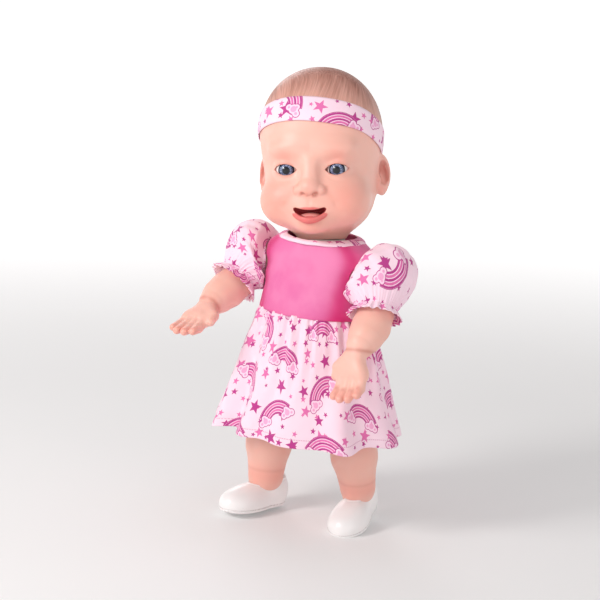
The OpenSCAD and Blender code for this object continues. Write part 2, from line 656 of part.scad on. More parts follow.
// ---------------------------------------------------------------- legs
// Left leg about the hip axis, feet turned out; the sole rests hip_z below the axis.
leg_balls = [
  [[39, 0, -26], 22.5], [[41, 0, -58], 23], [[42.5, 1, -84], 23], [[43.5, 3, -106], 20],
  [[44, 3, -122], 17.5],
];
ankle = [44, 3, -leg_length + 27];
foot_balls = [[[0, 9, -12], 10.5], [[0, -10, -12], 11], [[0, -28, -15], 8.5], [[0, -38, -17], 6]];
module at_foot() translate(ankle) rotate([0, 0, toe_out]) children();
module foot(grow = 0) at_foot() {
  chain(foot_balls, grow, 12);
  hull() {
    sphere(r = 16 + grow, $fn = 20);
    translate(foot_balls[0][0]) sphere(r = foot_balls[0][1] + grow, $fn = 16);
    translate(foot_balls[1][0]) sphere(r = foot_balls[1][1] + grow, $fn = 16);
  }
}
module leg() {
  difference() {
    union() {
      hull() {
        along_x(crotch_x + 0.5, 0, 0) cylinder(r = hip_r - 2, h = 1, $fn = 40);
        along_x(crotch_x + 6, 0, 0) cylinder(r = hip_r, h = 24, $fn = 40);
        along_x(crotch_x + 34, 0, 0) cylinder(r = hip_r - 9, h = 3, $fn = 40);
        translate(leg_balls[0][0]) sphere(r = leg_balls[0][1] - 1.2, $fn = 24);
      }
      chain(leg_balls, 0, 18);
      hull() {
        translate(leg_balls[4][0]) sphere(r = 17.5, $fn = 20);
        at_foot() sphere(r = 16, $fn = 20);
      }
      foot();
    }
    hull() {
      along_x(crotch_x + 3.1, 0, 0) cylinder(r = hip_r - 5, h = 24, $fn = 32);
      translate(leg_balls[0][0]) sphere(r = leg_balls[0][1] - 4, $fn = 16);
    }
    chain([for (b = leg_balls) [b[0], b[1] - vinyl_wall]], 0, 10);
    along_x(crotch_x - 1, 0, 0) cylinder(r = plug_r + 0.02, h = 10, $fn = 32);
    translate([0, -60, -120]) cube([crotch_x + 0.5, 120, 200]);
  }
}
// Slip-on shoe with a raised heel collar and a thin welt round the sole.
sole_z = -27;
module sole_plate(grow, h)
  for (part = [0, 1])
    hull() {
      if (part == 0) translate([0, 10, sole_z]) cylinder(r = 14.5 + grow, h = h, $fn = 24);
      translate([1, -24, sole_z]) cylinder(r = 17 + grow, h = h, $fn = 24);
      if (part == 1) translate([-1, -38, sole_z + 2]) cylinder(r = 14 + grow, h = h, $fn = 24);
    }
module shoe() difference() {
  at_foot() {
    hull() {
      translate([0, 10, sole_z]) cylinder(r = 14.5, h = 4, $fn = 24);
      translate([1, -24, sole_z]) cylinder(r = 17, h = 4, $fn = 24);
      translate([-1, -38, sole_z + 2]) cylinder(r = 14, h = 4, $fn = 24);
      translate([0, 10, -12]) sphere(r = 14.8, $fn = 16);
      translate([0, 10, -5]) cylinder(r = 14, h = 2, $fn = 24);
      translate([0, -12, -11]) sphere(r = 15, $fn = 16);
      translate([0, -30, -14]) sphere(r = 12.8, $fn = 16);
      translate([0, -38, -17]) sphere(r = 10.5, $fn = 16);
    }
    sole_plate(1, 1.6);
    translate([-8, -36, sole_z - 0.4]) cube([18, 22, 1]);
    translate([-7, 2, sole_z - 0.4]) cube([14, 14, 1]);
  }
  at_foot() hull() {
    translate([0, -0.5, 0]) sphere(r = 16.9, $fn = 20);
    translate([0, 0, 20]) sphere(r = 18.4, $fn = 20);
    translate([0, -12, 10]) sphere(r = 14, $fn = 16);
  }
  foot(0.5);
}

translate(origin_shift) torso_front();
translate(origin_shift) torso_back();
translate(origin_shift) torso_screws();
translate(origin_shift) press_button();
translate(origin_shift) button_spring();
translate(origin_shift) button_retainer();
translate(origin_shift) circuit_board();
translate(origin_shift) board_screws();
translate(origin_shift) chips();
translate(origin_shift) speaker_frame();
translate(origin_shift) speaker_cone();
translate(origin_shift) battery_cells();
translate(origin_shift) battery_contacts();
translate(origin_shift) battery_door();
translate(origin_shift) battery_door_screw();
translate(origin_shift) switch_body();
translate(origin_shift) switch_slider();
translate(origin_shift) speaker_wires();
translate(origin_shift) battery_wires();
translate(origin_shift) switch_wires();
translate(origin_shift) dress_bodice();
translate(origin_shift) dress_collar();
translate(origin_shift) dress_skirt();
translate(origin_shift) dress_placket();
translate(origin_shift) placket_tape();
translate(origin_shift) head_shell();
translate(origin_shift) neck_plug();
translate(origin_shift) eye(1);  // left_eye
translate(origin_shift) eye(-1);  // right_eye
translate(origin_shift) eye_cup(1);  // left_eye_cup
translate(origin_shift) eye_cup(-1);  // right_eye_cup
translate(origin_shift) headband();
translate(origin_shift) swing_arm(left_arm_swing) color(skin) arm(30, 8);  // left_arm
translate(origin_shift) swing_arm(right_arm_swing) color(skin) mirror([1, 0, 0]) arm(-3, -4);  // right_arm
translate(origin_shift) swing_arm(left_arm_swing) color("white") limb_plug(seat_x);  // left_arm_plug
translate(origin_shift) swing_arm(right_arm_swing) color("white") mirror([1, 0, 0]) limb_plug(seat_x);  // right_arm_plug
translate(origin_shift) swing_arm(left_arm_swing) color(print_pink) sleeve();  // left_sleeve
translate(origin_shift) swing_arm(right_arm_swing) color(print_pink) mirror([1, 0, 0]) sleeve();  // right_sleeve
translate(origin_shift) swing_arm(left_arm_swing) color(print_pink) cuff();  // left_cuff
translate(origin_shift) swing_arm(right_arm_swing) color(print_pink) mirror([1, 0, 0]) cuff();  // right_cuff
translate(origin_shift) swing_leg(left_leg_swing) color(skin) leg();  // left_leg
translate(origin_shift) swing_leg(right_leg_swing) color(skin) mirror([1, 0, 0]) leg();  // right_leg
translate(origin_shift) swing_leg(left_leg_swing) color("white") limb_plug(crotch_x);  // left_leg_plug
translate(origin_shift) swing_leg(right_leg_swing) color("white") mirror([1, 0, 0]) limb_plug(crotch_x);  // right_leg_plug
translate(origin_shift) swing_leg(left_leg_swing) color(white_vinyl) shoe();  // left_shoe
translate(origin_shift) swing_leg(right_leg_swing) color(white_vinyl) mirror([1, 0, 0]) shoe();  // right_shoe
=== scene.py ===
import json
import math
from functools import partialmethod
from itertools import product

import bmesh
import bpy
import numpy as np
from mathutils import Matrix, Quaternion, Vector


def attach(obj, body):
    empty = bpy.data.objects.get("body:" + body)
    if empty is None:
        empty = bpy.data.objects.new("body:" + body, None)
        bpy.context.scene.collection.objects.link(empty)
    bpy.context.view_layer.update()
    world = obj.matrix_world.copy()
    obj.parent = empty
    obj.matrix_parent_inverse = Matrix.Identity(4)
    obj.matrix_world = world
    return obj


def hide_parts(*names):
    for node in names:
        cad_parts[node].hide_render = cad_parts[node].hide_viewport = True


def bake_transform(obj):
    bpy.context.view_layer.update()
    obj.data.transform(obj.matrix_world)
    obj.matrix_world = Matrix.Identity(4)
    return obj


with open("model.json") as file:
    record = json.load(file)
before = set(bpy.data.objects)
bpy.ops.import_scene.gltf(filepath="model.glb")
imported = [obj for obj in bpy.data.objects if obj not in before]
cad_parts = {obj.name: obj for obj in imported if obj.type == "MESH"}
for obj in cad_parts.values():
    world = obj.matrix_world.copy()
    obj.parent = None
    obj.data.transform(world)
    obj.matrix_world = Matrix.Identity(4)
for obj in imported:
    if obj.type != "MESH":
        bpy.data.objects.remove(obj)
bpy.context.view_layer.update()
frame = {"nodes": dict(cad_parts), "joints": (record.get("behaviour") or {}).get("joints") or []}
scene = bpy.context.scene
joints = {j["name"]: j for j in frame["joints"]}
neck = joints["neck_turn"]["pos_m"]
# Shapes are in millimetres in a model frame centred on the torso. SHIFT takes it to the shared frame.
AXIS_Y = 2  # the shoulder, hip and neck axes in that frame
SHIFT = np.array([neck[0] * 1000, neck[1] * 1000 - AXIS_Y, 0.0])
HIP_Z = joints["left_hip"]["pos_m"][2] * 1000
SHOULDER_Z = joints["left_shoulder"]["pos_m"][2] * 1000
NECK_Z = neck[2] * 1000
# The photographed stance, in degrees.
HEAD_TURN, HEAD_UP, HEAD_LEAN = 23, 6, 6
ARM_SWING = {"left": 13, "right": 28}
LEG_SWING = {"left": -11, "right": 2}
TOE_OUT = 12
TURN = 6.283  # radians in a turn, as the shaders use it


# ---- camera and light
def aim(obj, target, roll=0.0):
    look = (Vector(target) - obj.location).normalized().to_track_quat("-Z", "Y")
    obj.rotation_mode = "QUATERNION"
    obj.rotation_quaternion = look @ Quaternion((0, 0, 1), roll)


def make_camera():
    """The photograph's view, found by a fit to the doll's outline."""
    data = bpy.data.cameras.new("camera")
    cam = bpy.data.objects.new("camera", data)
    scene.collection.objects.link(cam)
    azimuth, elevation, roll, view_angle = (math.radians(a) for a in (32.9, 11.2, 4.25, 20.6))
    distance, middle_height, half_sensor = 1.55, 0.215, 18
    target = Vector((SHIFT[0] / 1000, SHIFT[1] / 1000, middle_height))
    flat = math.cos(elevation)
    back = Vector((math.sin(azimuth) * flat, -math.cos(azimuth) * flat, math.sin(elevation)))
    cam.location = target + back * distance
    aim(cam, target, roll)
    data.sensor_width = 2 * half_sensor
    data.lens = half_sensor / math.tan(view_angle / 2)
    data.shift_x, data.shift_y = -0.0273, 0.0013
    data.clip_start, data.clip_end = 0.05, 200
    scene.camera = cam


def area_light(name, location, target, size, watts, color):
    data = bpy.data.lights.new(name, "AREA")
    data.shape, data.size, data.energy, data.color = "DISK", size, watts, color
    obj = bpy.data.objects.new(name, data)
    scene.collection.objects.link(obj)
    obj.location = location
    aim(obj, target)


make_camera()
MIDDLE, FACE = (0, 0, 0.24), (0, 0, 0.34)
area_light("key", (-0.55, -1.45, 1.05), MIDDLE, 0.5, 15.0, (1.0, 0.98, 0.96))
area_light("fill", (1.7, -0.6, 0.6), MIDDLE, 1.0, 2.0, (1.0, 0.96, 0.95))
area_light("rim", (-1.3, 1.1, 1.1), MIDDLE, 0.8, 4.0, (1.0, 0.98, 1.0))
area_light("eye_spark", (-0.02, -1.5, 0.95), FACE, 0.16, 0.8, (1, 1, 1))
scene.world = bpy.data.worlds.new("studio")
scene.world.use_nodes = True
background = scene.world.node_tree.nodes["Background"].inputs
background["Color"].default_value = (1.0, 0.985, 0.98, 1)
background["Strength"].default_value = 0.5
scene.view_settings.view_transform = "Standard"


# ---- shader helpers
class Sock:
    """A number or colour in a shader tree that can be used in sums."""

    def __init__(self, tree, value):
        self.tree, self.value = tree, value

    def f(self, op, *others):
        """The math node's result, with this value as its first input."""
        node = self.tree.nodes.new("ShaderNodeMath")
        node.operation = op
        for k, v in enumerate((self, *others)):
            put(self.tree, node.inputs[k], v)
        return Sock(self.tree, node.outputs[0])

    __add__ = partialmethod(f, "ADD")
    __sub__ = partialmethod(f, "SUBTRACT")
    __mul__ = partialmethod(f, "MULTIPLY")
    __truediv__ = partialmethod(f, "DIVIDE")
    less = partialmethod(f, "LESS_THAN")

    def __rsub__(self, o):
        return self * -1.0 + o

    def step(self, low, high):
        """A smooth step from 0 at low to 1 at high."""
        node = self.tree.nodes.new("ShaderNodeMapRange")
        node.interpolation_type = "SMOOTHSTEP"
        for key, v in (("Value", self), ("From Min", low), ("From Max", high)):
            put(self.tree, node.inputs[key], v)
        return Sock(self.tree, node.outputs[0])


def put(tree, socket, value):
    if isinstance(value, Sock):
        tree.links.new(value.value, socket)
    elif socket.type == "RGBA" and len(value) == 3:
        socket.default_value = (*value, 1)
    else:
        socket.default_value = value


def length(x, y):
    return (x * x + y * y).f("SQRT")


def rgb(r, g, b):
    """A colour as it is seen, from 0 to 255, as linear values."""
    return tuple(((v / 255 + 0.055) / 1.055) ** 2.4 if v > 10 else v / 255 / 12.92 for v in (r, g, b))


class Mat:
    """A material with short calls for the nodes that its pattern needs."""

    def __init__(self, name):
        self.material = bpy.data.materials.new(name)
        self.material.use_nodes = True
        self.tree = self.material.node_tree
        self.shader = self.tree.nodes["Principled BSDF"]

    def new(self, kind, output, inputs=None, **settings):
        node = self.tree.nodes.new("ShaderNode" + kind)
        for name, value in settings.items():
            setattr(node, name, value)
        for key, value in (inputs or {}).items():
            put(self.tree, node.inputs[key], value)
        return Sock(self.tree, node.outputs[output])

    def attr(self, name, kind="Fac"):
        return self.new("Attribute", kind, attribute_name=name)

    def place(self):
        return self.attr("rest", "Vector")

    def object_place(self):
        return self.new("TexCoord", "Object")

    def xyz(self, vector):
        node = self.tree.nodes.new("ShaderNodeSeparateXYZ")
        put(self.tree, node.inputs[0], vector)
        return [Sock(self.tree, o) for o in node.outputs]

    def uv_mm(self):
        x, y, _ = self.xyz(self.new("UVMap", 0))
        return x * 1000.0, y * 1000.0

    def vec(self, x, y, z=0.0):
        return self.new("CombineXYZ", 0, {0: x, 1: y, 2: z})

    def noise(self, vector, scale, detail=3.0, rough=0.55):
        inputs = {"Vector": vector, "Scale": scale, "Detail": detail, "Roughness": rough}
        return self.new("TexNoise", "Fac", inputs)

    def random(self, vector):
        return self.xyz(self.new("TexWhiteNoise", "Color", {"Vector": vector}, noise_dimensions="3D"))

    def mix(self, fac, a, b):
        return self.new("Mix", 2, {0: fac, 6: a, 7: b}, data_type="RGBA")

    def bump(self, height, strength, distance, normal=None):
        inputs = {"Height": height, "Strength": strength, "Distance": distance}
        if normal is not None:
            inputs["Normal"] = normal
        return self.new("Bump", 0, inputs)

    def set(self, **values):
        for name, value in values.items():
            put(self.tree, self.shader.inputs[name.replace("_", " ")], value)


# ---- materials
# x, y and radius of the discs that make a cloud
CLOUD = (0.0, 0.0, 5.2), (-4.6, -1.6, 3.6), (4.6, -1.4, 3.8), (0.8, 3.2, 3.4)


def from_middle(u, cell, number, random, jitter):
    """Distance from a cell's middle, which is moved about by up to half of jitter."""
    return u - (number + 0.5 + (random - 0.5) * jitter) * cell


def star_layer(m, u, v, cell, small, large, seed):
    """Five-pointed stars strewn on a grid of cells. Returns (inside, random)."""
    cu, cv = (u / cell).f("FLOOR"), (v / cell).f("FLOOR")
    r1, r2, r3 = m.random(m.vec(cu + seed, cv, seed * 1.7))
    size = r3 * (large - small) + small
    qx, qy = from_middle(u, cell, cu, r1, 0.5), from_middle(v, cell, cv, r2, 0.5)
    fold = (qy.f("ARCTAN2", qx) + r1 * TURN).f("PINGPONG", math.pi / 5)
    rad = length(qx, qy) / size
    # The side of a point, as a line from its tip to the notch.
    edge = (rad * fold.f("COSINE") - 1.0) * 0.247 + rad * fold.f("SINE") * 0.66
    return edge.less(0.0), r2


def print_color(m, u, v, seed=0.0):
    """Pale pink ground with stars and striped rainbow arcs that end in small clouds; u and v in mm."""
    color = m.mix(m.noise(m.vec(u * 0.02, v * 0.02, seed), 1.0), rgb(252, 225, 236), rgb(249, 213, 229))
    dark, mid, pale = rgb(184, 52, 136), rgb(226, 112, 172), rgb(250, 214, 232)
    for cell, small, large, sd, a, b in (
        (16.0, 2.2, 4.0, 3.0 + seed, mid, dark),
        (26.0, 4.6, 8.4, 11.0 + seed, dark, mid),
    ):
        inside, r = star_layer(m, u + sd * 3.1, v + sd * 7.7, cell, small, large, sd)
        color = m.mix(inside, color, m.mix(r.less(0.45), b, a))
    cell, r_in, r_out, r_cloud, half_span = 52.0, 11.0, 24.0, 17.5, 0.98
    sd = 5.0 + seed
    u, v = u + sd * 9.0, v + sd * 5.0
    cu = (u / cell).f("FLOOR")
    v = v + (cu * 0.5).f("FRACT") * cell
    cv = (v / cell).f("FLOOR")
    r1, r2, r3 = m.random(m.vec(cu, cv, sd))
    px, py = from_middle(u, cell, cu, r1, 0.12), from_middle(v, cell, cv, r2, 0.12)
    tilt = (r3 - 0.5) * 1.7
    c, s = tilt.f("COSINE"), tilt.f("SINE")
    qx, qy = px * c - py * s, px * s + py * c + 10.0
    band = (length(qx, qy) - r_in) / (r_out - r_in)
    from_mid_band = (band - 0.5).f("ABSOLUTE")
    inside = from_mid_band.less(0.5) * (qy.f("ARCTAN2", qx) - 1.5708).f("ABSOLUTE").less(half_span)
    two_tone = m.mix((band * 2.5).f("FRACT").less(0.5), mid, dark)
    stripe = m.mix((band * 5.0).f("FRACT").less(0.72), pale, two_tone)
    color = m.mix(inside, color, m.mix(1.0 - from_mid_band.less(0.455), stripe, dark))
    cloud = None
    for side, (dx, dy, r) in product((-1.0, 1.0), CLOUD):
        ex, ey = side * r_cloud * math.sin(half_span) + dx, r_cloud * math.cos(half_span) - 1.5 + dy
        dist = length(qx - ex, qy - ey) - r
        cloud = dist if cloud is None else cloud.f("MINIMUM", dist)
    puff = m.mix(cloud.less(-0.7), dark, m.mix(cloud.less(-2.4), pale, rgb(240, 168, 206)))
    return m.mix(cloud.less(0.0), color, puff)


def print_material(name, seed, hem):
    """Printed cloth; hem is the height of a row of stitches, or None."""
    m = Mat(name)
    u, v = m.uv_mm()
    color = print_color(m, u, v, seed)
    pitch = 0.7
    weave = ((u * (TURN / pitch)).f("SINE") + (v * (TURN / pitch)).f("SINE")) * 0.25
    fuzz = m.noise(m.vec(u * 0.8, v * 0.8), 1.0, 4.0, 0.7)
    normal = m.bump(weave + fuzz * 0.9, 0.35, 0.0002)
    if hem is not None:
        off = (v - hem).f("ABSOLUTE")
        color = m.mix(off.less(0.28) * (u / 2.4).f("FRACT").less(0.68) * 0.7, color, rgb(205, 120, 165))
        normal = m.bump(off.step(0.0, 0.9), 0.6, 0.0005, normal)
    blotch = m.noise(m.place(), 45.0, 2.0)
    color = m.mix(blotch * 0.18, color, m.mix(0.5, color, rgb(238, 150, 190)))
    m.set(Base_Color=color, Roughness=m.noise(m.vec(u, v), 0.3) * 0.15 + 0.78, Normal=normal)
    m.set(Sheen_Weight=0.25, Sheen_Roughness=0.5, Specular_IOR_Level=0.2)
    m.set(Subsurface_Weight=0.06, Subsurface_Radius=(0.004, 0.002, 0.002), Subsurface_Scale=0.5)
    return m.material


def knit_material():
    m = Mat("magenta_knit")
    u, v = m.uv_mm()
    rib = (u * (TURN / 0.95)).f("SINE") * 0.5 + (v * (TURN / 0.7)).f("SINE") * 0.3
    fuzz = m.noise(m.vec(u, v), 0.9, 4.0, 0.7)
    shade = m.noise(m.place(), 28.0, 3.0)
    color = m.mix(shade.step(0.35, 0.7), rgb(230, 128, 176), rgb(222, 108, 164))
    # The fold mask is painted shade: a deeper magenta a little all over, most towards the sides by the arms and
    # along the waist.
    color = m.mix(m.attr("fold").step(0.05, 1.1), color, rgb(208, 34, 112))
    m.set(Base_Color=color, Roughness=fuzz * 0.2 + 0.5, Normal=m.bump(rib + fuzz, 0.3, 0.0002))
    m.set(Sheen_Weight=0.6, Sheen_Roughness=0.3, Sheen_Tint=(1.0, 0.62, 0.82), Specular_IOR_Level=0.35)
    return m.material


def skin_material():
    m = Mat("skin_vinyl")
    p, hair, flow = m.place(), m.attr("hair"), m.attr("hairflow", "Vector")
    base = m.mix(m.noise(p, 22.0, 3.0), rgb(242, 190, 176), rgb(238, 180, 164))
    color = m.mix(m.attr("blush") * 0.8, base, rgb(234, 140, 126))
    strands, fine = m.noise(flow, 1.0, 3.0, 0.6), m.noise(flow, 2.6, 2.0, 0.5)
    streak = (strands * 0.55 + fine * 0.55).step(0.36, 0.74)
    color = m.mix(hair * (streak * 0.5 + 0.5), color, rgb(136, 74, 56))
    # Painted shade in the creases of the face, hands and ankles, in the nostrils, round the eyes and in the
    # ears.
    color = m.mix(m.attr("crease") * 0.7, color, rgb(186, 92, 78))
    color = m.mix(m.attr("nail") * 0.5, color, rgb(250, 214, 204))
    lip_tone = m.mix(m.noise(p, 300.0), rgb(226, 122, 116), rgb(218, 108, 106))
    for mask, low, high, tone in (
        ("lips", 0.25, 0.75, lip_tone),
        ("inner", 0.3, 0.7, rgb(168, 58, 62)),
        ("tongue", 0.3, 0.7, rgb(240, 160, 152)),
        ("lidline", 0.3, 0.8, rgb(96, 52, 44)),
    ):
        color = m.mix(m.attr(mask).step(low, high), color, tone)
    normal = m.bump(m.noise(p, 1800.0, 2.0), 0.12, 0.0001)
    normal = m.bump((strands * 0.5 + fine * 0.6) * hair, 0.3, 0.0006, normal)
    m.set(Base_Color=color, Roughness=m.noise(p, 60.0) * 0.1 + 0.36, Normal=normal, Specular_IOR_Level=0.42)
    m.set(Subsurface_Weight=0.18, Subsurface_Radius=(0.006, 0.0018, 0.0012), Subsurface_Scale=0.6)
    return m.material


def eye_material():
    """White, iris and pupil as rings round the eye's own axis, with lengths in mm."""
    m = Mat("eye_gloss")
    x, y, z = m.xyz(m.attr("el", "Vector"))
    rad, ang = length(x, z), z.f("ARCTAN2", x)
    rays = m.noise(m.vec(ang.f("COSINE") * 9.0, ang.f("SINE") * 9.0, rad * 0.25), 1.0, 2.0)
    # The white turns darker and pinker towards its edge: the pink of the corners with painted shade under the
    # lids.
    sclera = m.mix(rad.step(7.0, 10.5), rgb(236, 230, 230), rgb(206, 160, 156))
    iris = m.mix(rad.step(2.6, 6.6), rgb(40, 48, 82), rgb(74, 88, 126))
    iris = m.mix((rays - 0.47).step(0.0, 0.12) * rad.step(3.0, 4.6), iris, rgb(172, 184, 214))
    iris = m.mix(rad.step(5.0, 6.6), iris, rgb(18, 20, 40))
    iris = m.mix(1.0 - rad.step(3.0, 3.7), iris, rgb(8, 9, 18))
    color = m.mix((1.0 - rad.step(7.2, 7.6)) * y.less(0.0), sclera, iris)
    m.set(Base_Color=color, Roughness=m.noise(m.place(), 80.0) * 0.08 + 0.3, Specular_IOR_Level=0.15)
    m.set(Coat_Weight=0.8, Coat_Roughness=0.02)
    m.set(Normal=m.bump(rays * (1.0 - rad.step(5.8, 6.3)), 0.25, 0.0003))
    return m.material


def shoe_material():
    m = Mat("shoe_vinyl")
    p = m.place()
    color = m.mix(m.noise(p, 18.0, 3.0), rgb(250, 247, 246), rgb(240, 236, 236))
    # Painted shade in the crease over the welt and under the bead round the opening.
    color = m.mix(m.attr("groove_shade").step(0.2, 0.9), color, rgb(196, 186, 186))
    grain = m.bump(m.noise(p, 900.0, 3.0), 0.10, 0.0001)
    m.set(Base_Color=color, Roughness=m.noise(p, 70.0) * 0.12 + 0.24, Normal=grain)
    m.set(Coat_Weight=0.3, Coat_Roughness=0.15, Specular_IOR_Level=0.5)
    m.set(Subsurface_Weight=0.08, Subsurface_Radius=(0.003, 0.002, 0.002), Subsurface_Scale=0.5)
    return m.material


def part_material(name, a, b, metallic=0.0, rough=0.45, grain=400.0, bump=0.2):
    """For the inside pieces: two close tones, uneven roughness and a fine grain."""
    m = Mat(name)
    p = m.object_place()
    m.set(Base_Color=m.mix(m.noise(p, grain * 0.2, 4.0), a, b), Metallic=metallic)
    m.set(Roughness=m.noise(p, grain * 0.5, 3.0) * 0.2 + (rough - 0.1))
    m.set(Normal=m.bump(m.noise(p, grain, 4.0), bump, 0.0002))
    return m.material


# ---- mesh helpers
def make_mesh(name, points_mm, faces, material, uv=None, attrs=None, rest=None):
    """A mesh from points in the model frame, with its rest place and any masks as attributes."""
    me = bpy.data.meshes.new(name)
    pts = (np.asarray(points_mm) + SHIFT) / 1000
    faces = faces if isinstance(faces, list) else [faces]
    loops = np.concatenate([f.ravel() for f in faces]).astype(np.int32)
    sides = np.concatenate([np.full(len(f), f.shape[1]) for f in faces])
    me.vertices.add(len(pts))
    me.vertices.foreach_set("co", pts.astype(np.float32).ravel())
    me.loops.add(len(loops))
    me.loops.foreach_set("vertex_index", loops)
    me.polygons.add(len(sides))
    me.polygons.foreach_set("loop_start", (np.cumsum(sides) - sides).astype(np.int32))
    me.update(calc_edges=True)
    me.validate()
    if uv is not None:
        me.uv_layers.new(name="UVMap").data.foreach_set("uv", np.asarray(uv, np.float32)[loops].ravel())
    where = pts if rest is None else np.asarray(rest) / 1000
    for key, value in {"rest": where, **(attrs or {})}.items():
        kind, field = ("FLOAT_VECTOR", "vector") if value.ndim == 2 else ("FLOAT", "value")
        a = me.attributes.new(key, kind, "POINT")
        a.data.foreach_set(field, value.astype(np.float32).ravel())
    me.shade_smooth()
    me.materials.append(material)
    obj = bpy.data.objects.new(name, me)
    scene.collection.objects.link(obj)
    return obj


def grid_faces(rows, cols, closed=True):
    """Quads over a grid of rows x cols points; closed joins the last column to the first."""
    i = np.arange(rows - 1)[:, None]
    j = np.arange(cols if closed else cols - 1)[None, :]
    k = (j + 1) % cols
    q = np.stack([i * cols + j, i * cols + k, (i + 1) * cols + k, (i + 1) * cols + j], -1)
    return q.reshape(-1, 4)


def circle(count):
    return np.linspace(0, 2 * math.pi, count, endpoint=False)


def sheet_uv(cols, width, heights):
    """Texture places in metres: width along each row, and one height for each row."""
    shape = (len(heights), cols)
    u, v = np.broadcast_to(np.linspace(0, width, cols), shape), np.broadcast_to(heights[:, None], shape)
    return np.stack([u, v], -1)


def thick_sheet(name, grid, uv, material, thickness, closed=True, attrs=None, flip=False, keep=None):
    """Closed cloth of even thickness from a grid of points (rows, cols, 3); keep leaves quads out for holes."""
    rows, cols = grid.shape[:2]
    nx = np.roll(grid, -1, 1) - np.roll(grid, 1, 1) if closed else np.gradient(grid, axis=1)
    n = np.cross(nx, np.gradient(grid, axis=0))
    n /= np.linalg.norm(n, axis=2, keepdims=True) + 1e-9
    outer, inner = grid, grid - n * (-thickness if flip else thickness)
    if closed:
        # The first column is repeated at the end so that the uv has its seam there.
        outer, inner = (np.concatenate([g, g[:, :1]], 1) for g in (outer, inner))
        cols += 1
    pts = np.concatenate([outer.reshape(-1, 3), inner.reshape(-1, 3)])
    f = grid_faces(rows, cols, False)
    if keep is not None:
        f = f[keep.ravel()]
    if flip:
        f = f[:, ::-1]
    total = rows * cols
    same = np.arange(total).reshape(rows, cols)
    if closed:
        same[:, -1] = same[:, 0]
    # Edges with one quad are the rim, and get a wall to the inner side.
    e = np.concatenate([f[:, [k, (k + 1) % 4]] for k in range(4)])
    pair = np.sort(same.ravel()[e], 1)
    _, inv, count = np.unique(pair[:, 0] * total + pair[:, 1], return_inverse=True, return_counts=True)
    rim = e[count[inv] == 1]
    walls = np.stack([rim[:, 1], rim[:, 0], rim[:, 0] + total, rim[:, 1] + total], 1)
    faces = np.concatenate([f, (f + total)[:, ::-1], walls])
    used = np.unique(faces)
    number = np.zeros(len(pts), int)
    number[used] = np.arange(len(used))
    uv2 = np.concatenate([uv.reshape(-1, 2)] * 2)[used]
    at = {}
    for key, value in (attrs or {}).items():
        v = np.concatenate([value, value[:, :1]], 1) if closed else value
        at[key] = np.concatenate([v.ravel()] * 2)[used]
    obj = make_mesh(name, pts[used], number[faces], material, uv2, at)
    bm = bmesh.new()
    bm.from_mesh(obj.data)
    bmesh.ops.remove_doubles(bm, verts=bm.verts, dist=1e-7)
    bm.to_mesh(obj.data)
    bm.free()
    obj.data.shade_smooth()
    return obj


def rot(axis, degrees):
    c, s = math.cos(math.radians(degrees)), math.sin(math.radians(degrees))
    return {
        "x": np.array([[1, 0, 0], [0, c, -s], [0, s, c]]),
        "y": np.array([[c, 0, s], [0, 1, 0], [-s, 0, c]]),
        "z": np.array([[c, -s, 0], [s, c, 0], [0, 0, 1]]),
    }[axis]


def head_to_model(p):
    """From the head's own frame, whose origin is 5 mm over the neck joint."""
    r = rot("z", HEAD_TURN) @ rot("y", -HEAD_LEAN) @ rot("x", -HEAD_UP)
    return p @ r.T + np.array([0, AXIS_Y, NECK_Z + 5])


def limb_to_model(p, side, swing, axis_z):
    """From a left limb's own frame, mirrored for the right one."""
    q = p * np.array([1 if side == "left" else -1, 1, 1])
    return q @ rot("x", -swing).T + np.array([0, AXIS_Y, axis_z])


def smooth_noise(size, count, seed):
    """A smooth random curve round a ring of size samples with about count bumps, from -1 to 1."""
    r = np.random.default_rng(seed)
    t = np.arange(size) / size * 2 * math.pi
    out = np.zeros(size)
    for k in range(max(1, count // 2), count * 3 // 2 + 2):
        out += r.normal() * np.cos(k * t + r.uniform(0, 6.28)) / (1 + abs(k - count) / count)
    return out / np.abs(out).max()


def smoothed(values, width):
    """The values averaged over a bell of width samples."""
    bell = np.hanning(width)
    bell /= bell.sum()
    return np.convolve(np.pad(values, width // 2, "edge"), bell, "valid")


def smooth_columns(table, z, width):
    """Every column of a table after its first, read at the heights z and smoothed."""
    return [smoothed(np.interp(z, table[:, 0], column), width) for column in table.T[1:]]


# ---- distance fields
def sph(p, c, r=0.0):
    return np.linalg.norm(p - np.array(c, float), axis=1) - r


def ell(p, c, r):
    r = np.array(r, float)
    q = (p - np.array(c, float)) / r
    k0 = np.linalg.norm(q, axis=1)
    k1 = np.linalg.norm(q / r, axis=1) + 1e-9
    return k0 * (k0 - 1) / k1


def cap(p, a, b, ra, rb):
    """A capsule from a to b with the radius ra at a and rb at b."""
    a, b = np.array(a, float), np.array(b, float)
    d = b - a
    h = np.clip(((p - a) @ d) / (d @ d), 0, 1)
    return np.linalg.norm(p - a - h[:, None] * d, axis=1) - (ra + (rb - ra) * h)


def smin(a, b, k):
    h = np.clip(0.5 + 0.5 * (b - a) / k, 0, 1)
    return b * (1 - h) + a * h - k * h * (1 - h)


def smax(a, b, k):
    return -smin(-a, -b, k)


def path_field(p, points, radii, k=0.0):
    d = None
    for i in range(len(points) - 1):
        e = cap(p, points[i], points[i + 1], radii[i], radii[i + 1])
        d = e if d is None else (smin(d, e, k) if k else np.minimum(d, e))
    return d


def shaped(p, d, forms):
    """The field d with ellipsoids added (1) or cut away (-1); each has a centre, half sizes and a blend."""
    for sign, centre, half_sizes, k in forms:
        e = ell(p, centre, half_sizes)
        d = smin(d, e, k) if sign > 0 else smax(d, -e, k)
    return d


def in_chunks(f, p, size=400000):
    return np.concatenate([f(p[i : i + size]) for i in range(0, len(p), size)]) if len(p) else np.zeros(0)


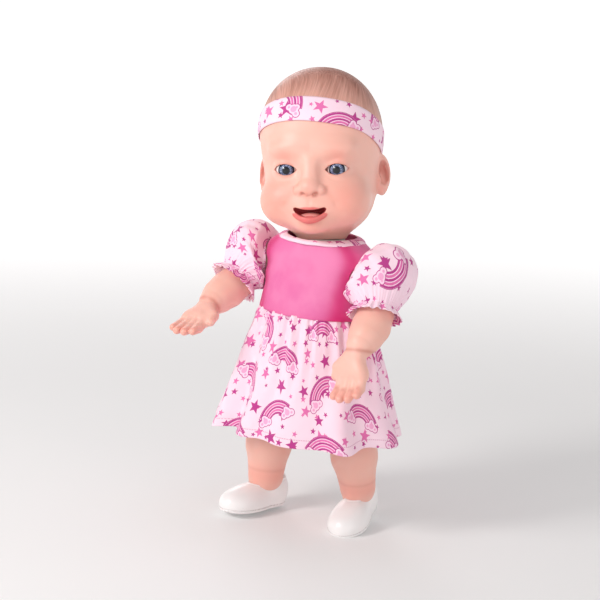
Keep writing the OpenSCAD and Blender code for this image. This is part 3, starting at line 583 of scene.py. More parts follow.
def surface(f, low, high, h):
    """Surface nets over the field f with cells of h, then each point is moved on to the surface."""
    low, high = np.array(low, float), np.array(high, float)
    step = 4
    n = (np.ceil((high - low) / h / step).astype(int) + 1) * step
    cn = n // step + 1
    axes = [low[a] + np.arange(cn[a]) * h * step for a in range(3)]
    coarse = in_chunks(f, np.stack(np.meshgrid(*axes, indexing="ij"), -1).reshape(-1, 3)).reshape(cn)
    fine = np.kron(coarse, np.ones((step,) * 3, np.float32))[: n[0], : n[1], : n[2]]
    near = np.zeros(cn, bool)
    close = np.abs(coarse) < h * step * 2.0
    for offset in product((-1, 0, 1), repeat=3):
        near |= np.roll(close, offset, (0, 1, 2))
    mask = np.kron(near, np.ones((step,) * 3, bool))[: n[0], : n[1], : n[2]]
    fine[mask] = in_chunks(f, low + np.argwhere(mask) * h)
    inside = fine < 0
    count = np.zeros(tuple(n - 1), np.int8)
    for dx, dy, dz in product((0, 1), repeat=3):
        count += inside[dx : n[0] - 1 + dx, dy : n[1] - 1 + dy, dz : n[2] - 1 + dz]
    active = (count > 0) & (count < 8)
    cells = np.argwhere(active)
    number = -np.ones(active.shape, np.int64)
    number[active] = np.arange(len(cells))
    # A cell's point is the mean of the places where the field is 0 on its edges.
    pos, weight = np.zeros((len(cells), 3)), np.zeros(len(cells))
    for a, ob, oc in product(range(3), (0, 1), (0, 1)):
        b, c = (a + 1) % 3, (a + 2) % 3
        p0 = cells.copy()
        p0[:, b] += ob
        p0[:, c] += oc
        p1 = p0.copy()
        p1[:, a] += 1
        f0, f1 = fine[tuple(p0.T)], fine[tuple(p1.T)]
        cross = (f0 < 0) != (f1 < 0)
        t = np.zeros(len(cells))
        t[cross] = f0[cross] / (f0[cross] - f1[cross])
        off = np.zeros((len(cells), 3))
        off[:, a], off[:, b], off[:, c] = t, ob, oc
        pos[cross] += off[cross]
        weight[cross] += 1
    verts = low + (cells + pos / weight[:, None]) * h
    faces = []
    for a in range(3):
        b, c = (a + 1) % 3, (a + 2) % 3
        s0 = [slice(1, -1)] * 3
        s0[a] = slice(0, -1)
        s1 = list(s0)
        s1[a] = slice(1, None)
        v0, v1 = inside[tuple(s0)], inside[tuple(s1)]
        for flip, hit in ((False, v0 & ~v1), (True, ~v0 & v1)):
            q = np.argwhere(hit)
            ring = []
            for ob, oc in ((1, 1), (0, 1), (0, 0), (1, 0)):
                r = q.copy()
                r[:, b] += ob
                r[:, c] += oc
                ring.append(number[tuple(r.T)])
            ring = np.stack(ring, 1)
            faces.append(ring[:, ::-1] if flip else ring)
    faces = np.concatenate(faces)
    faces = faces[(faces >= 0).all(1)]
    for _ in range(2):
        d = in_chunks(f, verts)
        g = gradient(f, verts, h * 0.4)
        verts = verts - np.clip(d / np.maximum((g * g).sum(1), 0.2), -0.6 * h, 0.6 * h)[:, None] * g
    return verts, faces


def gradient(f, p, e):
    return np.stack([(in_chunks(f, p + o) - in_chunks(f, p - o)) / (2 * e) for o in np.eye(3) * e], 1)


def gauss(v, w):
    return np.exp(-((v / w) ** 2))


# ---- head
# Height, half width, and depth in front of and behind the axis.
HEAD_RINGS = np.array([
    [-6, 21, 20, 20], [-1, 22, 22, 21], [4, 25.5, 26, 23.5], [8, 31, 37, 26], [12, 36, 46, 30],
    [18, 42, 53, 37], [27, 47, 57, 44], [40, 51, 58.5, 52], [54, 52, 57, 58], [68, 53.5, 56.5, 62],
    [82, 55.5, 58, 64.5], [97, 57, 58, 65.5], [112, 57, 58, 65.5],
])
HEAD_Z = np.linspace(-30, 130, 641)
HEAD_CURVES = smooth_columns(HEAD_RINGS, HEAD_Z, 41)
DOME_Z, DOME_HEIGHT, HEAD_CUT = 97, 61.0, -1.0


def head_base(p):
    """The plain skull, without features."""
    z = p[:, 2]
    a, front, back = (np.interp(z, HEAD_Z, c) for c in HEAD_CURVES)
    b = np.where(p[:, 1] < 0, front, back)
    t = np.maximum(0, z - DOME_Z) / DOME_HEIGHT
    q = np.sqrt((np.abs(p[:, 0]) / a) ** 2.1 + (np.abs(p[:, 1]) / b) ** 2.05 + t**2)
    return (q - 1) * np.minimum(a, b)


FACE_FORMS = (
    (1, (27, -34, 35), (23.5, 23.5, 22.5), 12),  # cheeks
    (1, (0, -41, 17), (19, 15.5, 11), 9),  # jaw
    (1, (0, -45, 28), (23, 16.5, 16), 9),  # round the mouth
    (1, (21, -45, 82), (17, 9.5, 7), 12),  # brows
    (-1, (24, -63.4, 64), (15, 10.5, 9), 9),  # sockets
    (-1, (9.5, -60, 62), (4.5, 4, 8), 6),  # inner corners
)
NOSE_FORMS = (
    (1, (0, -60.6, 46.6), (9.2, 6.8, 6.8), 4),  # tip
    (1, (10.0, -57.2, 44.6), (4.7, 5.8, 5.0), 2.0),  # wings
    (-1, (5.6, -63.6, 40.6), (2.7, 3.6, 2.1), 0.9),  # nostrils
)
EAR_BOWL = (5.6, -1.5, 3.5), (5.0, 8.2, 11.5)
EAR_FORMS = (
    (1, (-0.5, -3, -10), (4.2, 7, 9), 3),
    (-1, *EAR_BOWL, 1.6),
    (-1, (4.0, -3.5, -1.5), (4.2, 5.5, 7), 1.6),
    (1, (2.0, -9.2, -1.5), (2.4, 2.6, 4), 1.6),
)
EYE, EYE_R = np.array([23.5, -42.5, 63.0]), 11.0
EAR, EAR_TURN = np.array([55.5, 9, 58.0]), rot("z", -26) @ rot("x", 12)
TONGUE = (0, -52.5, 20.8), (10.0, 8.0, 3.6)


def mirrored(p):
    """The points with both halves of the head laid on its left."""
    return np.stack([np.abs(p[:, 0]), p[:, 1], p[:, 2]], 1)


def lid_curves(u):
    """Upper and lower edge of the eye's opening over its width, outer corner at u > 0."""
    w = np.clip(1 - (u / 10.6) ** 2, 0, None)
    return 4.7 * w**0.75 + 0.04 * u + 0.2, -4.9 * w**0.9 + 0.04 * u + 0.2


def lip_path(high, drop, power, r0, r1, push, dip=0.0):
    """Points and radii from the middle of a lip to the corner of the mouth."""
    t = np.linspace(0, 1, 10)
    x = 19.8 * t
    z = high + drop * (1 - t * t) ** power - dip * gauss(t, 0.12)
    pts = np.stack([x, -61.0 - push * (1 - t * t) + 0.0205 * x * x, z], 1)
    return pts, r0 + (r1 - r0) * t**1.5


LIP_UP = lip_path(32.0, -3.8, 0.9, 1.6, 0.9, 0.3, 0.4)
LIP_LOW = lip_path(31.8, -13.4, 0.66, 3.5, 1.0, 1.4)


def mouth_room(m):
    b = m.copy()
    b[:, 2] -= 0.014 * m[:, 0] ** 2
    return np.maximum(ell(b, (0, -60, 24.6), (14.6, 14, 4.3)), b[:, 2] - 26.9)


def head_field(p):
    m = mirrored(p)
    d = shaped(m, head_base(p), FACE_FORMS)
    d = smin(d, cap(m, (0, -53.5, 68), (0, -58.0, 51), 4.8, 6.4), 10)  # bridge of the nose
    d = shaped(m, d, NOSE_FORMS)
    # groove over the lip, soft dimples at the corners of the mouth
    d = smax(d, -cap(m, (0, -63.2, 39), (0, -63.8, 33), 0.8, 1.2), 2.5)
    d = smax(d, -sph(m, (22.8, -54.6, 32.5), 1.0), 5.0)
    d = smin(d, path_field(m, *LIP_UP), 1.4)
    d = smin(d, path_field(m, *LIP_LOW), 1.6)
    d = smax(d, -mouth_room(m), 1.0)
    d = smin(d, ell(m, *TONGUE), 0.8)
    d = smin(d, ell(m, (0, -50.5, 13), (11.5, 8, 6)), 7)  # chin
    # lids, the opening between them and the room for the ball
    e = m - EYE
    from_eye = np.linalg.norm(e, axis=1)
    d = smin(d, from_eye - (EYE_R + 1.4), 3.0)
    top, bottom = lid_curves(e[:, 0])
    hole = np.maximum(e[:, 2] - top, bottom - e[:, 2])
    hole = np.maximum(hole, np.maximum(p[:, 1] + 40, np.abs(e[:, 0]) - 10.8))
    d = smax(d, -hole, 0.7)
    d = np.maximum(d, -(from_eye - (EYE_R + 0.05)))
    q = (m - EAR) @ EAR_TURN
    ear = shaped(q, ell(q, (0, 0, 2), (4.6, 12.5, 17.5)), EAR_FORMS)
    ear = smin(ear, path_field(q, [(3.2, 3.5, -7), (2.6, 4.8, 1), (2.4, 2.5, 8)], [1.1, 1.3, 1.0]), 1.4)
    return np.maximum(smin(d, ear, 3.0), HEAD_CUT - p[:, 2])


def skin_masks(count, **given):
    """Every mask that the skin's material reads, 0 where none is given."""
    names = ("lips", "inner", "tongue", "blush", "crease", "lidline", "hair", "nail")
    return {**{name: np.zeros(count) for name in names}, **given}


SHADED_CREASES = (  # painted shade along each crease: weight, ends, radius and width
    (0.75, (20.6, -55.5, 34), (21.2, -54.5, 30), 0.5, 1.8),  # corner of the mouth
    (0.35, (0, -60, 15.5), (8, -58, 16.5), 0.5, 2.5),  # under the lip
    (0.2, (15, -58.5, 43), (22, -56, 34), 0.5, 3.0),  # nose to mouth
    (0.7, (15.2, -55.5, 47), (14.6, -56.5, 41), 0.3, 1.5),  # wing of the nose
)


def head_masks(v):
    m = mirrored(v)
    x, y, z = m.T
    front = np.clip((-y - 30) / 20, 0, 1)
    lips = np.clip(1 - np.minimum(path_field(m, *LIP_UP), path_field(m, *LIP_LOW)) / 1.0, 0, 1) * (y < -50)
    inner = ((mouth_room(m) < 0.5) * (y > -60.2) * (y < -40)).astype(float)
    tongue = np.clip(1 - ell(m, *TONGUE) / 0.6, 0, 1) * inner
    blush = 0.6 * gauss(np.hypot(x - 33, (z - 36) * 0.9), 17) * front
    for weight, bx, bz, width in ((0.35, 0, 43, 8), (0.5, 0, 11, 12), (0.55, 24, 74, 9)):
        blush += weight * gauss(np.hypot(x - bx, z - bz), width) * front
    blush += 0.6 * gauss(sph(m, (58, 6, 58)), 17)
    e = m - EYE
    from_eye = np.linalg.norm(e, axis=1)
    top, bottom = lid_curves(e[:, 0])
    near_eye = (from_eye < EYE_R + 2.6) & (y < -40)
    fade = np.clip((10.4 - np.abs(e[:, 0])) / 2.5, 0, 1)
    line = gauss(e[:, 2] - top, 0.9) * fade * (e[:, 2] > 0) * near_eye * (from_eye < EYE_R + 1.15)
    rim = np.minimum(np.abs(e[:, 2] - top), np.abs(e[:, 2] - bottom))
    # painted shade round the rims of the eye's opening
    crease = gauss(rim, 1.4) * near_eye * 0.6 * fade
    # painted shade in the nostril
    crease += 2.0 * gauss(sph(m, (5.6, -63, 41.0)), 2.2)
    for weight, a, b, r, width in SHADED_CREASES:
        crease += weight * gauss(cap(m, a, b, r, r), width)
    # painted shade in the ear's bowl
    crease += 0.9 * np.clip(1 - ell((m - EAR) @ EAR_TURN, *EAR_BOWL), 0, 1) * (x > 50)
    # hairline: high over the forehead, down past the ears to the nape
    ang = np.arctan2(x, -y)
    line_z = np.interp(ang, [0, 0.6, 1.1, 1.45, 1.7, 2.2, 3.15], [111, 108, 97, 84, 62, 34, 24])
    wob = 3.0 * np.sin(ang * 9 + 1.3) + 2.0 * np.sin(ang * 23)
    hair = np.clip((z - line_z - wob) / 46, 0, 1) ** 0.8
    hair[np.linalg.norm((m - np.array([58, 8, 60])) / np.array([9, 15, 20]), axis=1) < 1] = 0
    # strands run out from the crown and swirl a little
    d = v - np.array([0, 30, 142.0])
    r = np.linalg.norm(d, axis=1)
    theta = np.arctan2(d[:, 0], -d[:, 1])
    theta = theta + 0.12 * np.sin(r * 0.07 + theta * 3)
    flow = np.stack([np.cos(theta) * 40, np.sin(theta) * 40, r * 0.03], 1)
    flow *= (0.35 + 0.65 * np.clip(r / 60, 0, 1))[:, None]
    return skin_masks(
        len(v), lips=lips, inner=inner, tongue=tongue, blush=np.clip(blush, 0, 1),
        crease=np.clip(crease, 0, 1), lidline=line, hair=hair, hairflow=flow,
    )


skin = skin_material()
H_HEAD = 0.95
hv, hf = surface(head_field, (-68, -72, -6), (68, 70, 161), H_HEAD)
head = make_mesh("head_skin", head_to_model(hv), hf, skin, attrs=head_masks(hv), rest=hv)
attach(head, "head")
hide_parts("head_shell")


def ball(rows, cols):
    """A ball's points and faces, with its poles in front and behind."""
    th = np.linspace(0, math.pi, rows)[1:-1, None]
    ph = circle(cols)[None, :]
    ring = np.stack([np.sin(th) * np.cos(ph), -np.cos(th) + 0 * ph, np.sin(th) * np.sin(ph)], -1)
    pts = np.concatenate([[[0, -1, 0]], ring.reshape(-1, 3), [[0, 1, 0]]])
    j, last = np.arange(cols), len(pts) - 1
    k = (j + 1) % cols
    tips = [np.stack([0 * j, 1 + j, 1 + k], 1), np.stack([0 * j + last, last - cols + k, last - cols + j], 1)]
    return pts, [grid_faces(rows - 2, cols)[:, ::-1] + 1, *tips]


eye_mat = eye_material()
ball_points, ball_faces = ball(49, 64)
ball_points = ball_points * EYE_R
# The cornea stands a little proud of the ball.
from_pupil = np.hypot(ball_points[:, 0], ball_points[:, 2])
cornea = 0.7 * np.clip(1 - (from_pupil / 7.0) ** 2, 0, 1) * (ball_points[:, 1] < 0)
for side, sign in (("left", 1), ("right", -1)):
    gaze = rot("z", 3.0 - 2.0 * sign) @ rot("x", 3.0)
    pts = (ball_points - cornea[:, None] * np.array([0, 1, 0])) @ gaze.T + EYE * np.array([sign, 1, 1])
    masks = {"el": ball_points}
    obj = make_mesh(side + "_eyeball", head_to_model(pts), ball_faces, eye_mat, attrs=masks, rest=ball_points)
    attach(obj, "head")
    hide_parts(side + "_eye")

# ---- headband
PRINTS = {"skirt": (0.0, 8.0), "sleeve": (2.0, None), "band": (6.0, None), "collar": (9.0, None)}
print_mat = {name: print_material("print_" + name, *look) for name, look in PRINTS.items()}


def on_head(origin, directions, off):
    """Points at the distance off from the plain skull, along rays from origin."""
    t = np.full(len(directions), 95.0)
    for _ in range(45):
        t -= (head_base(origin + directions * t[:, None]) - off) * 0.85
    return origin + directions * t[:, None]


def make_headband():
    rows, cols = 15, 300
    ang = circle(cols)
    tilt = rot("y", 4.5) @ rot("x", -22)
    grid = np.zeros((rows, cols, 3))
    wave = smooth_noise(cols, 5, 3) * 0.8
    pucker = smooth_noise(cols, 26, 4)
    dirs = np.stack([np.cos(ang), np.sin(ang), np.zeros(cols)], 1) @ tilt.T
    back = gauss(ang - math.pi / 2, 0.35)
    for r, v in enumerate(np.linspace(-1, 1, rows)):
        height = 11.0 * v * (1 - 0.06 * np.cos(ang * 2)) + wave
        local = np.stack([0 * ang, 0 * ang, height], 1) @ tilt.T
        off = 1.75 - 0.35 * v**6 + (0.25 + 0.9 * back) * pucker * 0.35 * np.cos(v * 1.4)
        grid[r] = on_head(np.array([0, 0, 95.5]) + local, dirs, off)
    uv = sheet_uv(cols + 1, 0.355, np.linspace(0, 0.023, rows))
    placed = head_to_model(grid.reshape(-1, 3)).reshape(grid.shape)
    obj = thick_sheet("headband_cloth", placed, uv, print_mat["band"], 0.8)
    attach(obj, "head")
    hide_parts("headband")


make_headband()


def unit(v):
    return v / np.linalg.norm(v)


# ---- arms and hands
ARM_PATH = (64, 0, -2), (71, -6, -17), (76, -13, -32), (78, -19, -43), (79, -27, -53), (79, -33, -61)
ARM_RADII = 17.2, 16.2, 16.4, 17, 15.6, 13
WRIST = np.array([78.5, -38, -68.0])
# The hand's own axes: along it, across it and out of its back.
HAND, ACROSS = np.array([0, -0.53, -0.848]), np.array([1.0, 0, 0])
BACKHAND = np.cross(ACROSS, HAND)
PADS = (3, 0), (17, 5.5), (17, -5.5), (22, -9), (22, 9)  # along and across
FINGERS = (9.8, 17.0, 4.3), (3.4, 21.5, 4.6), (-3.4, 22.0, 4.7), (-9.8, 19.5, 4.6)  # across, length, radius


def hand_parts(curl):
    """Palm, fingers and thumb in the arm's frame, before the wrist bends."""
    pads = [WRIST + HAND * along + ACROSS * across for along, across in PADS]
    fingers = []
    for fx, long, r in FINGERS:
        root = WRIST + HAND * 24 + ACROSS * fx - BACKHAND * 0.4
        d1 = unit(HAND + ACROSS * fx * 0.016 - BACKHAND * (0.06 + 0.20 * curl))
        d2 = unit(HAND + ACROSS * fx * 0.008 - BACKHAND * (0.28 + 0.62 * curl))
        mid = root + d1 * long * 0.55
        fingers.append((root, mid, mid + d2 * long * 0.5, r))
    t0 = WRIST + HAND * 8 - ACROSS * 7.5
    t1 = WRIST + HAND * 15 - ACROSS * 15.5 - BACKHAND * 2
    t2 = t1 + np.array([-0.25, -0.45, -0.86]) * 8.5
    return pads, fingers, (t0, t1, t2)


def hand_space(p, droop, splay):
    """The points as they are before the wrist bends by droop and splay."""
    return (p - WRIST) @ (rot("x", droop) @ rot("y", -splay)) + WRIST


def arm_field(p, droop, splay, hand):
    d = path_field(p, ARM_PATH, ARM_RADII, 3)
    d = smin(d, ell(p, (78.3, -21, -45.5), (16.4, 15.5, 14)), 4)  # fat fold above the wrist
    q = hand_space(p, droop, splay)
    pads, fingers, (t0, t1, t2) = hand
    palm = cap(q, pads[0], WRIST + HAND * 14, 10.2, 9.0)
    for b in pads[1:]:
        palm = smin(palm, sph(q, b, 7.2 if abs(b[0] - WRIST[0]) < 7 else 5.8), 7)
    palm = smax(palm, np.abs((q - WRIST) @ BACKHAND) - 8.6, 4)
    for root, mid, tip, r in fingers:
        f = smin(cap(q, root - HAND * 3, mid, r * 1.04, r * 0.98), cap(q, mid, tip, r * 0.98, r * 0.80), 1.0)
        palm = smin(palm, f, 1.6)
        # knuckle dimple on the back of the hand
        palm = smax(palm, -sph(q, root - HAND * 2.5 + BACKHAND * 9.6, 2.2), 2.5)
    thumb = smin(cap(q, t0, t1, 7.6, 5.6), cap(q, t1, t2, 5.4, 4.3), 1.2)
    d = smin(d, smin(palm, thumb, 3.5), 2.2)
    d = smin(d, cap(p, (46, 0, 0), (64, 0, 0), 17.4, 17.4), 3)  # shoulder
    return np.maximum(d, 43.0 - p[:, 0])


def arm_masks(v, droop, splay, hand):
    q = hand_space(v, droop, splay)
    blush = 0.55 * gauss(sph(v, (86, -12, -50)), 13)
    nail, crease = np.zeros(len(v)), np.zeros(len(v))
    for root, mid, tip, r in hand[1]:
        blush = np.maximum(blush, 0.6 * gauss(sph(q, tip), 6))
        blush = np.maximum(blush, 0.45 * gauss(sph(q, root - HAND * 2 + BACKHAND * 7), 4))
        off = q - (tip + BACKHAND * r * 0.8 + HAND * 0.6)
        from_nail = np.linalg.norm(off / np.array([2.5, 2.6, 2.6]), axis=1)
        nail = np.maximum(nail, np.clip(1.6 - from_nail * 1.3, 0, 1))
        # painted shade under each finger's joint
        crease = np.maximum(crease, 0.5 * gauss(sph(q, mid - BACKHAND * r), 2.5))
    # painted shade in the wrist crease
    crease = np.maximum(crease, 0.7 * gauss((q - WRIST) @ HAND + 1.0, 1.8) * (v[:, 2] < -50))
    return skin_masks(len(v), blush=blush, crease=crease, nail=nail)


H_LIMB = 1.0
for side, droop, splay, curl in (("left", 30, 8, 1.0), ("right", -3, -4, 0.1)):
    hand = hand_parts(curl)
    av, af = surface(lambda p: arm_field(p, droop, splay, hand), (40, -95, -132), (108, 24, 24), H_LIMB)
    masks = arm_masks(av, droop, splay, hand)
    if side == "right":
        af = af[:, ::-1]
    placed = limb_to_model(av, side, ARM_SWING[side], SHOULDER_Z)
    obj = make_mesh(side + "_arm_skin", placed, af, skin, attrs=masks, rest=av)
    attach(obj, side + "_arm")
    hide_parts(side + "_arm")

# ---- legs and shoes
LEG_LENGTH, SOLE = 156, -27.0  # from the hip's axis down, and from the ankle
ANKLE = np.array([44, 3, -LEG_LENGTH - SOLE])


def foot_space(p):
    return (p - ANKLE) @ rot("z", TOE_OUT)


def leg_field(p):
    d = cap(p, (39, 0, -20), (41, 0, -58), 23.5, 23.4)
    d = smin(d, ell(p, (42, 1, -88), (22.4, 22.8, 26)), 5)
    d = smin(d, cap(p, (42.8, 1.5, -98), (44, 3, -124), 20.6, 17.2), 6)
    d = smin(d, cap(p, (24, 0, 0), (36, 0, -2), 25.6, 25.4), 6)
    q = foot_space(p)
    foot = cap(q, (0, 9, -12), (0, -10, -12.5), 10.4, 10.8)
    foot = smin(foot, cap(q, (0, -10, -12.5), (0, -36, -17.5), 10.6, 5.8), 3)
    foot = smin(foot, sph(q, (0, 0.5, -1), 15.2), 5)
    return np.maximum(smin(d, foot, 3.5), 17.8 - p[:, 0])


def shoe_fields(q):
    """The outside of the shoe, and the opening for the foot."""
    x, y, z = q.T
    heel = ell(q, (0, 9.5, -12), (16.0, 16.6, 22))
    mid = ell(q, (0.3, -12, -18.5), (16.4, 24.5, 16))
    toe = ell(q, (0.2, -29.5, -20), (18.4, 23.6, 15))
    out = smin(smin(heel, mid, 9), toe, 9)
    toe_spring = np.clip((-y - 30) / 22, 0, 1) ** 2 * 2.2
    out = smax(out, SOLE + toe_spring - z, 2.0)
    top = z - (-0.5 + 0.0016 * y * y + 2.5 * np.clip(y / 20, 0, 1))
    return out, smin(ell(q, (0, -1.0, 5.0), (14.6, 23.0, 13.5)), -top, 2.0)


def shoe_field(p):
    q = foot_space(p)
    over_sole = q[:, 2] - SOLE
    out, opening = shoe_fields(q)
    shell = smax(out, -np.maximum(out + 1.9, 3.4 - over_sole), 0.6)
    d = smax(shell, -opening, 0.7)
    d = smin(d, np.hypot(out + 0.5, opening + 0.2) - 1.15, 0.8)  # bead round the opening
    welt = np.maximum(np.abs(over_sole - 2.2) - 1.3, out - 0.9)
    return smin(d, smax(welt, -(out + 1.2), 0.4), 0.4)


def shoe_masks(v):
    q = foot_space(v)
    out, opening = shoe_fields(q)
    # Painted shade in the creases over the welt and under the bead round the opening.
    groove_shade = 0.8 * gauss(q[:, 2] - (SOLE + 4.0), 0.6) * (np.abs(out) < 1.2)
    groove_shade += 0.5 * gauss(np.hypot(out + 0.3, opening - 1.6), 0.8)
    return {"groove_shade": np.clip(groove_shade, 0, 1)}


shoe_mat = shoe_material()
lv, lf = surface(leg_field, (16, -46, -162), (70, 32, 28), H_LIMB * 1.15)
sv, sf = surface(shoe_field, (18, -58, -160), (80, 36, -118), H_LIMB * 0.8)
leg_blush = 0.4 * gauss(lv[:, 2] + 122, 9) + 0.35 * gauss(sph(lv, (42, -22, -62)), 12)
# painted shade in the ankle crease
leg_masks = skin_masks(len(lv), blush=leg_blush, crease=0.22 * gauss(lv[:, 2] + 116.5, 1.8))
for side, flip in (("left", 1), ("right", -1)):
    leg_at, shoe_at = (limb_to_model(points, side, LEG_SWING[side], HIP_Z) for points in (lv, sv))
    obj = make_mesh(side + "_leg_skin", leg_at, lf[:, ::flip], skin, attrs=leg_masks, rest=lv)
    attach(obj, side + "_leg")
    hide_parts(side + "_leg")
    obj = make_mesh(side + "_shoe_shell", shoe_at, sf[:, ::flip], shoe_mat, attrs=shoe_masks(sv), rest=sv)
    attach(obj, side + "_leg")
    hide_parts(side + "_shoe")

# ---- dress
# Height, half width, half depth, and the middle from front to back.
TORSO_RINGS = np.array([
    [190, 52, 41.5, -2], [203, 52.6, 41.5, -2], [208, 52.8, 41.2, -2], [218, 51.8, 40.4, -1],
    [227, 51.4, 39.2, 0], [242, 53.6, 35.4, 1], [254, 57, 32, 2], [262, 56.5, 30.4, 2],
    [267, 53, 29.8, 2], [271.5, 47, 29.6, 2], [275, 41, 29.4, 2], [278.5, 34, 28, 2],
])
TORSO_Z = np.linspace(180, 280, 401)
TORSO_CURVES = smooth_columns(TORSO_RINGS, TORSO_Z, 25)
# Height, half width and half depth from the hem up to the waist seam.
SKIRT_RINGS = np.array([
    [93, 93.5, 76], [106, 89, 72.5], [136, 79.5, 65.5], [164, 70, 59], [184, 62.5, 51.5], [197, 57.5, 46.8],
    [208, 53.4, 43.6],
])
WAIST_Z, HEM_Z = 208.0, 93.0
ARMHOLE_R, SEAM_R = 20.6, 20.4


def torso_at(z):
    return (np.interp(z, TORSO_Z, c) for c in TORSO_CURVES)


def bodice_x(y, z, grow):
    """How far the bodice reaches sideways at a point of its outline."""
    rx, ry, cy = torso_at(z)
    return (rx + grow) * np.sqrt(np.clip(1 - ((y - cy) / (ry + grow)) ** 2, 0, 1)) * (z < 277)


def make_bodice():
    rows, cols = 90, 360
    ang = circle(cols)
    grid, fold = np.zeros((rows, cols, 3)), np.zeros((rows, cols))
    low = WAIST_Z - 1.5
    neckline = 277.4 - 1.6 * np.clip(-np.sin(ang), 0, 1) ** 2  # a little lower in front
    side = np.abs(np.cos(ang))
    by_arm = gauss(side - 0.80, 0.16)
    wide, fine = smooth_noise(cols, 9, 21), smooth_noise(cols, 30, 22)
    for r, v in enumerate(np.linspace(0, 1, rows)):
        z = low + (neckline - low) * v
        grow = 1.9 + 0.9 * np.exp(-v * 9) - 0.5 * v
        grow = grow + by_arm * np.sin(z * 0.33 + np.abs(ang - 1.5 * math.pi) * 5) * 0.7 * np.sin(math.pi * v)
        grow = grow + wide * 0.45 * (1 - v) + fine * 0.25 * np.exp(-v * 6)
        rx, ry, cy = torso_at(z)
        grid[r] = np.stack([(rx + grow) * np.cos(ang), cy + (ry + grow) * np.sin(ang), z], -1)
        # fold holds painted shade: a little all over, most on front and back towards the sides by the arms,
        # more along the waist seam.
        fold[r] = np.clip(0.15 + by_arm * 0.75 + 0.3 * np.exp(-v * 14) - 0.1 * side, 0, 1)
    # Quads inside the armhole's circle go, and those left round it are drawn on to it.
    mid = (grid[:-1] + grid[1:]) / 2
    mid = (mid + np.roll(mid, -1, 1)) / 2
    from_axis = np.hypot(mid[:, :, 1] - AXIS_Y, mid[:, :, 2] - SHOULDER_Z)
    hole = (np.abs(mid[:, :, 0]) > 36) & (from_axis < ARMHOLE_R)
    corner = np.zeros((rows, cols), int)
    for dr, dc in product((0, 1), (0, 1)):
        corner[dr : rows - 1 + dr] += np.roll(hole, dc, 1)
    dy, dz = grid[:, :, 1] - AXIS_Y, grid[:, :, 2] - SHOULDER_Z
    k = np.where((corner > 0) & (corner < 4), ARMHOLE_R / np.maximum(np.hypot(dy, dz), 1), 1.0)
    grid[:, :, 1], grid[:, :, 2] = AXIS_Y + dy * k, SHOULDER_Z + dz * k
    uv = sheet_uv(cols + 1, 0.29, np.linspace(0, 0.067, rows))
    obj = thick_sheet("bodice_cloth", grid, uv, knit, 0.9, attrs={"fold": fold}, keep=~hole)
    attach(obj, "torso")
    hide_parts("dress_bodice")


def make_skirt():
    """Gathers at the waist that run out into wide folds at the hem."""
    rows, cols = 150, 720
    ang = circle(cols)
    warp = ang + 0.10 * smooth_noise(cols, 3, 31)
    big = np.cos(11 * warp + 0.6) * 0.6 + smooth_noise(cols, 9, 32) * 0.7
    mid, fine = smooth_noise(cols, 22, 33), smooth_noise(cols, 56, 34)
    grid = np.zeros((rows, cols, 3))
    down = np.linspace(0, 1, rows)
    height = WAIST_Z + (HEM_Z - WAIST_Z) * down
    width, depth = smooth_columns(SKIRT_RINGS, height, 31)
    width[0], depth[0] = SKIRT_RINGS[-1, 1:]
    for r, v in enumerate(down):
        shift = 0.10 * np.sin(v * 4.0 + ang * 2) * v
        out = (0.4 + 6.2 * v**1.1) * np.interp(ang + shift, ang, big, period=2 * math.pi)
        out += (3.3 * gauss(v - 0.22, 0.28) + 0.25) * np.interp(ang + shift * 2, ang, mid, period=2 * math.pi)
        out += 1.7 * np.exp(-v / 0.13) * (1 - np.exp(-v / 0.012)) * fine
        out += 1.8 * gauss(v - 0.07, 0.05) - 1.2
        z = height[r] - 1.6 * big * v**4 + 0.8 * np.sin(3 * ang + 1) * v**3
        grid[r] = np.stack([(width[r] + out) * np.cos(ang), -2 + (depth[r] + out) * np.sin(ang), z], -1)
    uv = sheet_uv(cols + 1, 0.60, np.linspace(0.120, 0, rows))
    obj = thick_sheet("skirt_cloth", grid[:, ::-1], uv, print_mat["skirt"], 0.8)
    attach(obj, "torso")
    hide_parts("dress_skirt")


def make_collar():
    rows, cols = 11, 240
    ang = circle(cols)
    grid = np.zeros((rows, cols, 3))
    low = 273.8 - 1.6 * np.clip(-np.sin(ang), 0, 1) ** 2 + 0.25 * smooth_noise(cols, 14, 41)
    for r, t in enumerate(np.linspace(0, 1, rows)):
        swell = math.sin(math.pi * t)
        rad = 43.6 - 10.6 * t + 1.8 * swell
        depth = rad - 10.2 * (1 - t) - 2.0 * t
        grid[r] = np.stack([rad * np.cos(ang), AXIS_Y + depth * np.sin(ang), low + 4.4 * t + 0.6 * swell], -1)
    uv = sheet_uv(cols + 1, 0.205, np.linspace(0, 0.012, rows))
    obj = thick_sheet("collar_band", grid, uv, print_mat["collar"], 1.0)
    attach(obj, "torso")
    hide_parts("dress_collar")


def slerp(a, b, t):
    w = math.acos(np.clip(a @ b, -1, 1))
    return (math.sin((1 - t) * w) * a + math.sin(t * w) * b) / math.sin(w)


PUFF_AT = [0, 0.06, 0.16, 0.3, 0.45, 0.62, 0.76, 0.88, 0.95, 1.0]
PUFF_RADII = [23.5, 27.5, 31.5, 34.4, 35.4, 34.6, 31.8, 26.6, 22.2, 19.2]


